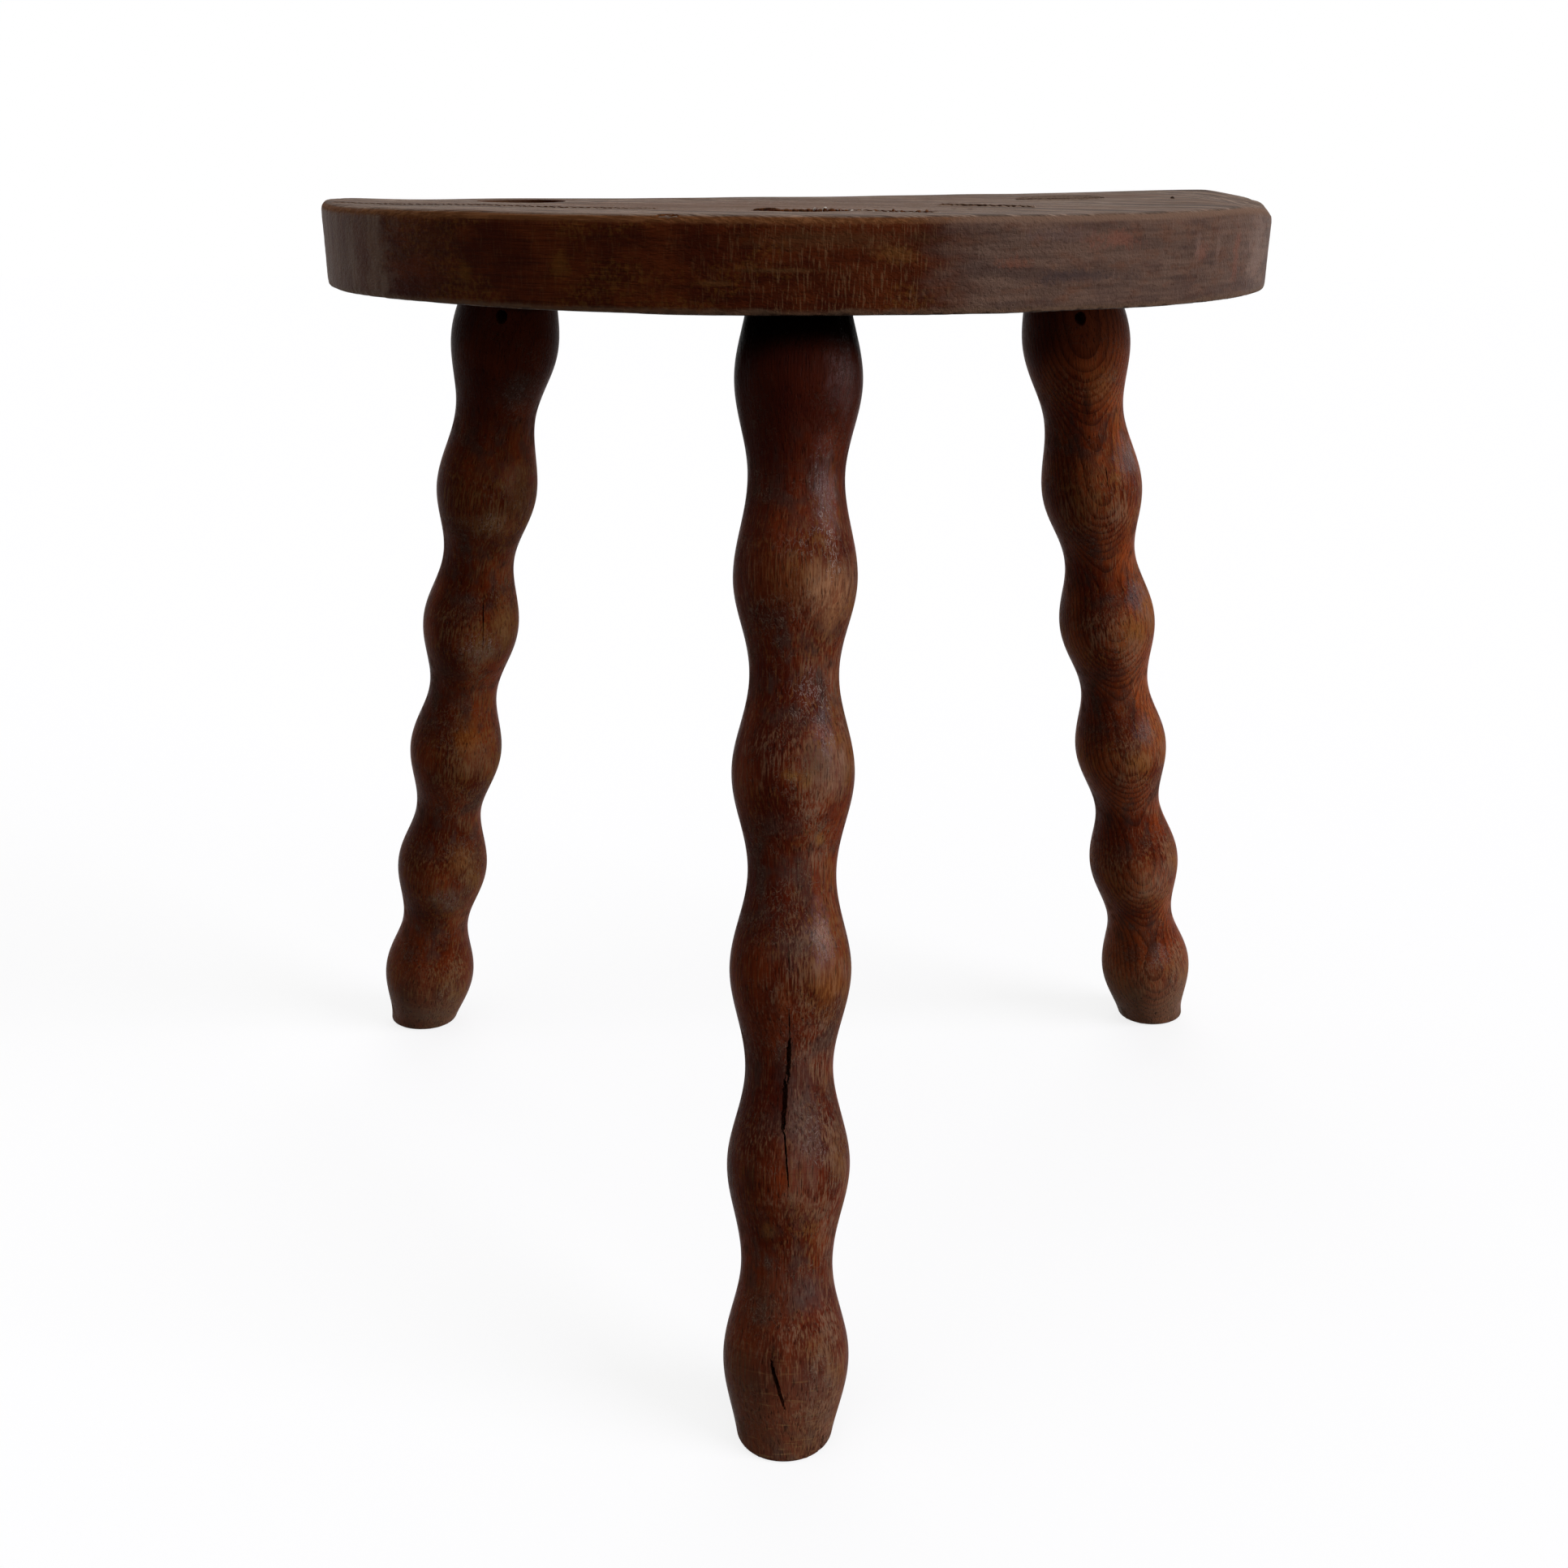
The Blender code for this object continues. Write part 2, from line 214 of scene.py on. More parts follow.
def shapeSeat(seat):
    drawIn = 1 - seatPlank["undercut"] / seatPlank["radius"]
    pick(seat, "VERT", lambda vertex: vertex.co.z < seatUnder + mm)
    bpy.ops.transform.resize(value=(drawIn, drawIn, 1), center_override=(0, seatCentreY, seatUnder))
    leaveEdit()
    for level, width, steps in ((seatTop, "arris", 4), (seatUnder, "lowerArris", 2)):
        pickLevel(seat, level, 0.1 * mm)
        bpy.ops.mesh.bevel(offset=seatPlank[width], segments=steps, affect="EDGES")
        leaveEdit()
    finishWith(seat, "REMESH", mode="VOXEL", voxel_size=seatPlank["voxel"], adaptivity=0)
    finishWith(seat, "SMOOTH", factor=0.5, iterations=3)


def warpSeat(seat):
    # a cage round the plank, of which only the upper points move: the underside stays flat
    deselect()
    bpy.ops.object.add(type="LATTICE", location=(seatLow + seatHigh) / 2)
    cage = bpy.context.object
    cage.scale = (seatHigh - seatLow) * 1.001
    cage.data.points_u = seatCage["columns"]
    cage.data.points_v = seatCage["rows"]
    cage.data.points_w = 2
    cage.data.interpolation_type_u = "KEY_CARDINAL"
    cage.data.interpolation_type_v = "KEY_CARDINAL"
    cage.data.interpolation_type_w = "KEY_LINEAR"
    bend = 2 * seatCage["rightLift"] - 4 * seatCage["middleLift"]
    for point in cage.data.points:
        if point.co.z > 0:
            across = point.co.x + 0.5
            back = point.co.y + 0.5
            place = (round(across * (seatCage["columns"] - 1)), round(back * (seatCage["rows"] - 1)))
            lift = (seatCage["rightLift"] * across - bend * across * (1 - across)) * back ** 2
            point.co_deform.z += (lift - seatCage["worn"].get(place, 0)) * mm / cage.scale.z
    bpy.context.view_layer.update()
    finishWith(seat, "LATTICE", object=cage)
    discard(cage)


def wearCorner(seat):
    spot = topPlace(*seatCage["corner"])
    pick(seat, "VERT", lambda vertex: vertex.co.z > seatTop - mm
         and (vertex.co.xy - spot.xy).length < seatCage["cornerKnock"] * mm)
    bpy.ops.transform.translate(
        value=(0, 0, -seatCage["cornerDrop"] * mm), use_proportional_edit=True,
        proportional_edit_falloff="SMOOTH", proportional_size=seatCage["cornerReach"] * mm)
    leaveEdit()


seatSplits = [
    # ends on the top, from the middle and from the front edge, width, depth, rise of the far lip, all in mm
    ((-166, 122), (-46, 50), 0.7, 5, 0.4), ((15, 46), (42, 27), 1.0, 3, 0.4),
    ((48, 92), (78, 72), 1.2, 6, 0.6), ((-150, 172), (-118, 168), 0.6, 3, 0.0),
    ((118, 150), (150, 146), 0.6, 3, 0.1), ((-60, 165), (20, 158), 0.6, 3, 0.1),
]
seatPits = [
    # one worm hole and two knocks on the top, and a chip off the arris: from the middle, from the front edge,
    # below the top, then the pit's size along, across and down, all in mm
    ((136, 133, 0), (0.9, 0.9, 9)), ((50, 64, 0), (1.2, 1.6, 0.7)), ((55, 60, 0), (1.2, 1.4, 0.7)),
    ((-42, 5.5, 0.2), (4.6, 2.4, 0.9)),
]
crumbledEnd = ((-11.5, 47.7, 0.5), (5.2, 3.5, 3))   # the same, where the left end of the front wedge is gone


lipBands = (12, 8, 5, 2.5)   # the far lip of a split rises in steps, over these widths in mm


def topPlace(across, back):
    return Vector((across * mm, seatFront + back * mm, seatTop))


def liftLip(seat, split):
    start, end = [topPlace(*spot) for spot in split[:2]]
    rise = split[-1]
    slope = (end.y - start.y) / (end.x - start.x)
    for band in lipBands:
        def beside(vertex):
            ahead = vertex.co.y - start.y - slope * (vertex.co.x - start.x)
            return (start.x < vertex.co.x < end.x and 0 < ahead < band * mm
                    and vertex.co.z > seatTop - 3 * mm)
        pick(seat, "VERT", beside)
        bpy.ops.transform.translate(value=(0, 0, rise * mm / len(lipBands)))
        leaveEdit()


def splitBlade(split, count):
    # a thin spindle with ragged sides
    start, end = [topPlace(*spot) for spot in split[:2]]
    wide, deep = split[2:4]
    run = end - start
    deselect()
    bpy.ops.mesh.primitive_uv_sphere_add(
        segments=8, ring_count=48, radius=1, location=(start + end) / 2,
        rotation=(0, pi / 2, atan2(run.y, run.x)),
        scale=(deep * mm, wide * mm / 2, run.length / 2))
    return makeRagged(bpy.context.object, "split", wide, count)


def pitCutter(place, size, count):
    spot = topPlace(place[0], place[1]) - Vector((0, 0, place[2] * mm))
    deselect()
    bpy.ops.mesh.primitive_ico_sphere_add(subdivisions=3, radius=1, location=spot,
                                          scale=[length * mm for length in size])
    return makeRagged(bpy.context.object, "pit", size[0], count)


crumbDepth = 0.6   # mm from a crumb's middle to its front
fillerCrumbs = [
    # a splinter behind the open end of the front kerf, the burr of the worm hole, then lumps of old filler
    # over the front tenon and in the split beside it: across, from the front edge, length, height, in mm
    (-11.3, 49.2, 9.5, 0.8), (136, 134.5, 1.5, 0.7), (28.5, 36.5, 0.9, 0.9),
    (-5, 47, 2.0, 0.5), (-2.5, 46, 1.6, 0.6), (0, 48.5, 2.2, 0.5), (2, 46.5, 1.5, 0.7), (4.2, 47.5, 1.6, 1.0),
    (5.8, 46, 1.3, 0.6), (7.3, 48, 1.8, 1.1), (9.5, 46.5, 2.4, 0.7), (12, 48, 1.8, 0.6), (14, 46, 1.5, 0.4),
    (18, 44, 1.2, 0.5), (23, 40.5, 1.4, 0.6), (31, 34.5, 1.2, 0.5), (36, 31, 1.6, 0.7),
    (38.5, 29.5, 1.3, 0.8),
]


def addCrumbs(seat):
    lumps = []
    for count, (across, back, long, high) in enumerate(fillerCrumbs):
        spot = topPlace(across, back)
        spot.z = max(surfaceAt(seat, spot)[0].z, seatTop)
        deselect()
        bpy.ops.mesh.primitive_ico_sphere_add(subdivisions=2, radius=1, location=spot,
                                              scale=(long / 2 * mm, crumbDepth * mm, high * mm))
        lumps.append(makeRagged(bpy.context.object, "crumb", high, count))
    joinAll([seat] + lumps)


def makeSeat():
    seat = drawSeatBlank()
    shapeSeat(seat)
    for lumps in ("handWear", "raisedGrain"):
        roughen(seat, lumps, *seatPlank[lumps])
    warpSeat(seat)
    wearCorner(seat)
    for split in seatSplits:
        liftLip(seat, split)
    return seat


# legs: one turning, copied three times

legTurning = {
    "bobbins": (41.5, 40.5, 40, 39.5, 40, 41), "necks": (31.5, 29, 28.5, 28.5, 29.5, 30),   # diameters in mm
    "pitch": 63.3, "firstDrop": 22.8, "tenon": 32, "ringStep": 1.7, "around": 112,
    "tenonTop": -46, "tenonFoot": -12, "blankEnd": 400,   # mm below the seat, before the ends are sawn off
    "footRound": 2, "footRows": 7,
    "copyTurn": 2.1,   # radians round the axis from one copy to the next, so that their lumps differ
    "lumps": (0.9 * mm, 28 * mm, (1, 1, 1.5), 1),   # as on the seat
}
legSocket = {"drops": (-46, -12, -9, -6, -4, -2, 0, 2, 4, 8), "around": 64, "play": 0.25}
legPlaces = {
    # across and back in mm from the seat's front middle, lean of the foot to the right and to the back in
    # degrees, side of the leg that faces the stool's middle, mm that the tenon's end has sunk below the top
    "front": {"across": -1, "back": 39, "splay": -0.7, "rake": -16.4, "inner": 1, "sink": 0.8},
    "left_rear": {"across": -108.5, "back": 160.5, "splay": -11.1, "rake": 14.7, "inner": -1, "sink": 1.2},
    "right_rear": {"across": 104, "back": 160.5, "splay": 11.6, "rake": 15.4, "inner": -1, "sink": 0.05},
}


def legMatrix(name):
    place = legPlaces[name]
    turn = Euler((radians(place["rake"]), -radians(place["splay"]), 0))
    spot = Vector((place["across"] * mm, seatFront + place["back"] * mm, seatUnder))
    return Matrix.LocRotScale(spot, turn, None)


def turnedRadius(drop):
    # mm from the leg's axis at a distance below the seat: swells that flow into necks
    stations = [(legTurning["firstDrop"] - legTurning["pitch"] / 2, legTurning["tenon"] / 2)]
    for count, (bobbin, neck) in enumerate(zip(legTurning["bobbins"], legTurning["necks"])):
        swell = legTurning["firstDrop"] + count * legTurning["pitch"]
        stations += [(swell, bobbin / 2), (swell + legTurning["pitch"] / 2, neck / 2)]
    if drop <= stations[0][0]:
        return stations[0][1]
    for (above, wide), (below, narrow) in zip(stations, stations[1:]):
        if drop <= below:
            blend = (1 - cos(pi * (drop - above) / (below - above))) / 2
            return wide + (narrow - wide) * blend
    return stations[-1][1]


def turnBlank(name, drops, around, grow=0.0):
    # the outline is drawn down the side of the leg, then spun round its axis
    radii = [turnedRadius(drop) + grow for drop in drops]
    blank = startVertex((radii[0] * mm, 0, -drops[0] * mm))
    for index in range(1, len(drops)):
        step = ((radii[index] - radii[index - 1]) * mm, 0, (drops[index - 1] - drops[index]) * mm)
        bpy.ops.mesh.extrude_region_move(TRANSFORM_OT_translate={"value": step})
    bpy.ops.mesh.select_all(action="SELECT")
    bpy.ops.mesh.spin(steps=around, angle=tau, center=(0, 0, 0), axis=(0, 0, 1))
    bpy.ops.mesh.select_all(action="SELECT")
    bpy.ops.mesh.remove_doubles(threshold=0.01 * mm)
    for end in (drops[0], drops[-1]):
        leaveEdit()
        pickLevel(blank, -end * mm, 0.01 * mm)
        bpy.ops.mesh.edge_face_add()
    faceOutwards()
    blank.name = name
    settle(blank)
    return blank


def trim(piece, point, normal):
    # saws off what lies on the normal's side and closes the cut
    edit(piece)
    bpy.ops.mesh.bisect(plane_co=point, plane_no=normal, use_fill=True, clear_outer=True)
    leaveEdit()


def roundFoot(leg, spot, axis):
    # loops cut just above the floor are drawn in, more the lower they are
    radius = legTurning["footRound"] * mm
    rows = legTurning["footRows"]
    heights = [radius * (1 - cos(pi / 2 * row / rows)) for row in range(rows)]
    for height in heights[1:]:
        edit(leg)
        bpy.ops.mesh.bisect(plane_co=(0, 0, height), plane_no=(0, 0, 1))
        leaveEdit()
    for row, height in enumerate(heights):
        low = (heights[row - 1] + height) / 2 if row else -mm
        high = (heights[row + 1] + height) / 2 if row + 1 < rows else radius
        centre = spot + axis * (height - spot.z) / axis.z
        inset = radius - sqrt(radius ** 2 - (radius - height) ** 2)
        draw = 1 - inset / (legTurning["necks"][-1] / 2 * mm)
        pick(leg, "VERT", lambda vertex: low < vertex.co.z <= high)
        bpy.ops.transform.resize(value=(draw, draw, 1), center_override=centre)
        leaveEdit()


def copyOf(piece, name):
    copy = piece.copy()
    copy.data = piece.data.copy()
    copy.name = name
    linkIn(copy)
    return copy


def placeOnLeg(piece, name):
    piece.matrix_world = legMatrix(name) @ piece.matrix_world
    bpy.context.view_layer.update()
    settle(piece)


def legSpot(drop, angle):
    # a place on the leg's own surface: angle 0 faces the front, positive to the right
    radius = turnedRadius(drop) * mm
    turn = radians(angle)
    return Vector((radius * sin(turn), -radius * cos(turn), -drop * mm))


legCracks = {
    # each end's drop below the seat and angle, width and depth in mm; the last in front is a chip off the foot
    "front": [
        ((232, -1), (248, -3), 1.8, 3.5), ((244, -5), (263, -7), 2.0, 3.5), ((260, -6), (280, 0), 0.8, 1.8),
        ((334, -15), (351, -1), 1.5, 2.5), ((205, -3), (233, -1), 0.7, 1.5), ((362, 50), (373, 52), 3.5, 1.2),
    ],
    "left_rear": [((128, 20), (150, 24), 0.6, 1.2)],
    "right_rear": [((70, 12), (96, 8), 0.7, 1.4)],
}


def crackBlade(crack, count):
    start, end = [legSpot(*spot) for spot in crack[:2]]
    wide, deep = crack[2:]
    run = end - start
    deselect()
    bpy.ops.mesh.primitive_uv_sphere_add(segments=8, ring_count=28, radius=1)
    blade = bpy.context.object
    middle = (start + end) / 2
    ahead = run.normalized()
    across = Vector((middle.x, middle.y, 0)).cross(ahead).normalized()
    blade.scale = (wide * mm / 2, deep * mm, run.length / 2)
    blade.rotation_euler = Matrix((across, ahead.cross(across), ahead)).transposed().to_euler()
    blade.location = middle
    return makeRagged(blade, "crack", wide, count)


legNail = {
    # drop below the seat, rise in degrees, then mm; the hole starts outside the leg and ends past the point
    "drop": 7.5, "rise": 22, "sink": 5, "length": 44, "shank": 3, "head": 3.8, "headHeight": 1.6,
    "point": 4.5, "tip": 0.12, "headBevel": 0.4, "play": 0.3, "holeOutside": 20, "holePast": 5,
}
legWedge = {
    # mm; the slip is made too long and too wide, then cut to the round of the tenon and sawn off at its end
    "length": 21, "thick": 3.4, "thin": 1.0, "play": 0.3, "tenonLength": 30.5, "slipTop": 44, "slipWide": 70,
    "slipFoot": -2, "inset": 0.1, "sink": 0.2,
}


def nailMatrix(name):
    side = legPlaces[name]["inner"]
    entry = Vector((0, side * turnedRadius(legNail["drop"]) * mm, -legNail["drop"] * mm))
    rise = radians(legNail["rise"])
    drive = Vector((0, -side * cos(rise), sin(rise)))
    turn = drive.to_track_quat("-Z", "X")
    return Matrix.LocRotScale(entry + drive * legNail["sink"] * mm, turn, None)


def nailHoleCutter(name):
    # a round hole from outside the leg to past the nail's point
    reach = (legNail["length"] + legNail["holeOutside"] + legNail["holePast"]) * mm
    radius = (legNail["head"] / 2 + legNail["play"]) * mm
    deselect()
    bpy.ops.mesh.primitive_cylinder_add(vertices=24, radius=radius, depth=reach,
                                        location=(0, 0, legNail["holeOutside"] * mm - reach / 2))
    cutter = bpy.context.object
    cutter.matrix_world = nailMatrix(name) @ cutter.matrix_world
    settle(cutter)
    return cutter


def makeNail():
    # lost-head nail along Z, its head's top at zero
    deselect()
    bpy.ops.mesh.primitive_circle_add(vertices=20, radius=legNail["head"] * mm / 2, fill_type="NGON",
                                      location=(0, 0, 0))
    nail = bpy.context.object
    bpy.ops.object.mode_set(mode="EDIT")
    bpy.ops.mesh.select_all(action="SELECT")
    shaft = legNail["length"] - legNail["headHeight"] - legNail["point"]
    for fall, shrink in ((legNail["headHeight"], 1), (0, legNail["shank"] / legNail["head"]), (shaft, 1),
                         (legNail["point"], legNail["tip"])):
        bpy.ops.mesh.extrude_region_move(TRANSFORM_OT_translate={"value": (0, 0, -fall * mm)})
        bpy.ops.transform.resize(value=(shrink, shrink, 1))
    bpy.ops.mesh.select_all(action="SELECT")
    bpy.ops.mesh.remove_doubles(threshold=0.001 * mm)
    faceOutwards()
    pickLevel(nail, 0, 0.001 * mm)
    bpy.ops.mesh.bevel(offset=legNail["headBevel"] * mm, segments=3, affect="EDGES")
    leaveEdit()
    return nail


def wedgeBlock(play):
    # tapered slip along X that runs past the tenon's end
    topDrop = -legWedge["slipTop"]
    rootDrop = legWedge["length"] - legWedge["tenonLength"]
    middle = -(topDrop + rootDrop) / 2 * mm
    slope = (legWedge["thick"] - legWedge["thin"]) / legWedge["length"]
    topThick = legWedge["thin"] + slope * (rootDrop - topDrop) + 2 * play
    bottomThick = legWedge["thin"] + 2 * play
    height = rootDrop - topDrop
    deselect()
    bpy.ops.mesh.primitive_cube_add(size=1, location=(0, 0, middle),
                                    scale=(legWedge["slipWide"] * mm, topThick * mm, height * mm))
    wedge = bpy.context.object
    settle(wedge)
    pick(wedge, "VERT", lambda vertex: vertex.co.z < middle)
    bpy.ops.transform.resize(value=(1, bottomThick / topThick, 1), center_override=(0, 0, -rootDrop * mm))
    leaveEdit()
    return wedge


def surfaceAt(seat, spot):
    hit, point, normal, face = seat.ray_cast(Vector((spot.x, spot.y, 1)), Vector((0, 0, -1)))
    return point, normal


def makeLegs(seat):
    drops = [legTurning["tenonTop"], legTurning["tenonFoot"]]
    while drops[-1] < legTurning["blankEnd"]:
        drops.append(drops[-1] + legTurning["ringStep"])
    blank = turnBlank("legBlank", drops, legTurning["around"])
    nailBlank = makeNail()
    made = {}
    for order, name in enumerate(legPlaces):
        matrix = legMatrix(name)
        axis = (matrix.to_3x3() @ Vector((0, 0, 1))).normalized()
        spot = matrix.translation + axis * (seatTop - seatUnder) / axis.z
        topPoint, topNormal = surfaceAt(seat, spot)
        endPoint = topPoint - topNormal * legPlaces[name]["sink"] * mm
        leg = copyOf(blank, name + "_turning")
        leg.rotation_euler = (0, 0, order * legTurning["copyTurn"])
        settle(leg)
        roughen(leg, name + "Lumps", *legTurning["lumps"])
        carve(leg, joinAll([crackBlade(crack, order) for crack in legCracks[name]]))
        carve(leg, nailHoleCutter(name))
        carve(leg, wedgeBlock(legWedge["play"]))
        placeOnLeg(leg, name)
        trim(leg, endPoint, topNormal)
        trim(leg, (0, 0, 0), (0, 0, -1))
        roundFoot(leg, matrix.translation, axis)
        wedge = wedgeBlock(0)
        wedge.name = name + "_slip"
        sleeveDrops = (legTurning["tenonTop"], legWedge["slipFoot"])
        sleeve = turnBlank(name + "Sleeve", sleeveDrops, legSocket["around"], -legWedge["inset"])
        carve(wedge, sleeve, "INTERSECT")
        placeOnLeg(wedge, name)
        trim(wedge, endPoint - topNormal * legWedge["sink"] * mm, topNormal)
        nail = copyOf(nailBlank, name + "_lostHead")
        nail.matrix_world = nailMatrix(name)
        settle(nail)
        placeOnLeg(nail, name)
        socket = turnBlank(name + "Socket", legSocket["drops"], legSocket["around"], legSocket["play"])
        cutters = [socket, nailHoleCutter(name)]
        for cutter in cutters:
            placeOnLeg(cutter, name)
        made[name] = {"leg": leg, "wedge": wedge, "nail": nail, "cutters": cutters}
    for old in (blank, nailBlank):
        discard(old)
    return made


seat = makeSeat()
print("seat shaped:", len(seat.data.polygons), "faces")
legs = makeLegs(seat)
print("legs turned and fitted")
for name in legs:
    for cutter in legs[name]["cutters"]:
        carve(seat, cutter)
carve(seat, joinAll([splitBlade(split, count) for count, split in enumerate(seatSplits)]))
carve(seat, joinAll([pitCutter(*pit, count) for count, pit in enumerate(seatPits)]))
carve(legs["front"]["wedge"], pitCutter(*crumbledEnd, 10))
addCrumbs(seat)
print("seat cut:", len(seat.data.polygons), "faces")


# smooth shading, with real edges kept crisp

everyPiece = {"seat": seat}
for name in legs:
    for part in ("leg", "wedge", "nail"):
        everyPiece[name + "_" + part] = legs[name][part]
for piece in everyPiece.values():
    activate(piece)
    bpy.ops.object.shade_smooth_by_angle(angle=radians(35))
for name in legs:
    pick(legs[name]["leg"], "FACE", lambda face: face.normal.z > 0.95)   # the sawn tenon ends are flat
    bpy.ops.mesh.faces_shade_flat()
    leaveEdit()


# materials

def hexColour(code):
    # sRGB hex to linear
    parts = [int(code[i:i + 2], 16) / 255 for i in (1, 3, 5)]
    return [c / 12.92 if c <= 0.04045 else ((c + 0.055) / 1.055) ** 2.4 for c in parts] + [1.0]


def fill(tree, node, values):
    # each value is set on its socket or linked to it, by the socket's name or in the sockets' order
    for socket, value in values.items() if isinstance(values, dict) else enumerate(values):
        if isinstance(value, bpy.types.NodeSocket):
            tree.links.new(value, node.inputs[socket])
        else:
            node.inputs[socket].default_value = value


def addNode(tree, kind, values=(), give=0, **settings):
    # a node with its settings and links, of which one output is given back
    node = tree.nodes.new("ShaderNode" + kind)
    for name, value in settings.items():
        setattr(node, name, value)
    fill(tree, node, values)
    return node.outputs[give]


def newMaterial(name):
    material = bpy.data.materials.new(name)
    material.use_nodes = True
    return material, material.node_tree, material.node_tree.nodes["Principled BSDF"]


smooth = {"interpolation_type": "SMOOTHSTEP"}   # for masks with soft borders
waveLength = 0.314   # of a wave texture at scale 1


def speckle(point, size, low, high, seed=0.0, detail=2.0, twist=0.0, within=1.0):
    # cloudy pattern with blotches of the given size in mm, as a mask that may lie within another mask
    tree = point.id_data
    spread = addNode(tree, "Mapping", {
        "Vector": point, "Location": (seed, 0.7 * seed, 1.3 * seed),
        "Scale": [1000 / length for length in size]})
    clouds = addNode(tree, "TexNoise", {
        "Vector": spread, "Scale": 1.0, "Detail": detail, "Roughness": 0.6, "Distortion": twist})
    return addNode(tree, "MapRange", {
        "Value": clouds, "From Min": low, "From Max": high, "To Max": within}, **smooth)


def coat(base, paint, mask, strength=1.0):
    # lays a colour over what is there, where the mask is, up to the given strength
    tree = mask.id_data
    share = addNode(tree, "Math", [mask, strength], operation="MULTIPLY")
    under, over = [hexColour(shade) if isinstance(shade, str) else shade for shade in (base, paint)]
    return addNode(tree, "Mix", {0: share, 6: under, 7: over}, give=2, data_type="RGBA")


def markShare(point, place, turn, size, ragged, within=1.0):
    # a stain or a rubbed patch: an oval of the given size in mm with a ragged border, as a mask
    tree = point.id_data
    oval = addNode(tree, "Mapping", {
        "Vector": point, "Location": place, "Rotation": (0, 0, turn),
        "Scale": [length * mm for length in size]}, vector_type="TEXTURE")
    reach = addNode(tree, "VectorMath", [oval], give="Value", operation="LENGTH")
    border = addNode(tree, "Math", [ragged, 1.1, reach], operation="MULTIPLY_ADD")
    return addNode(tree, "MapRange", {
        "Value": border, "From Min": 1.6, "From Max": 0.7, "To Max": within}, **smooth)


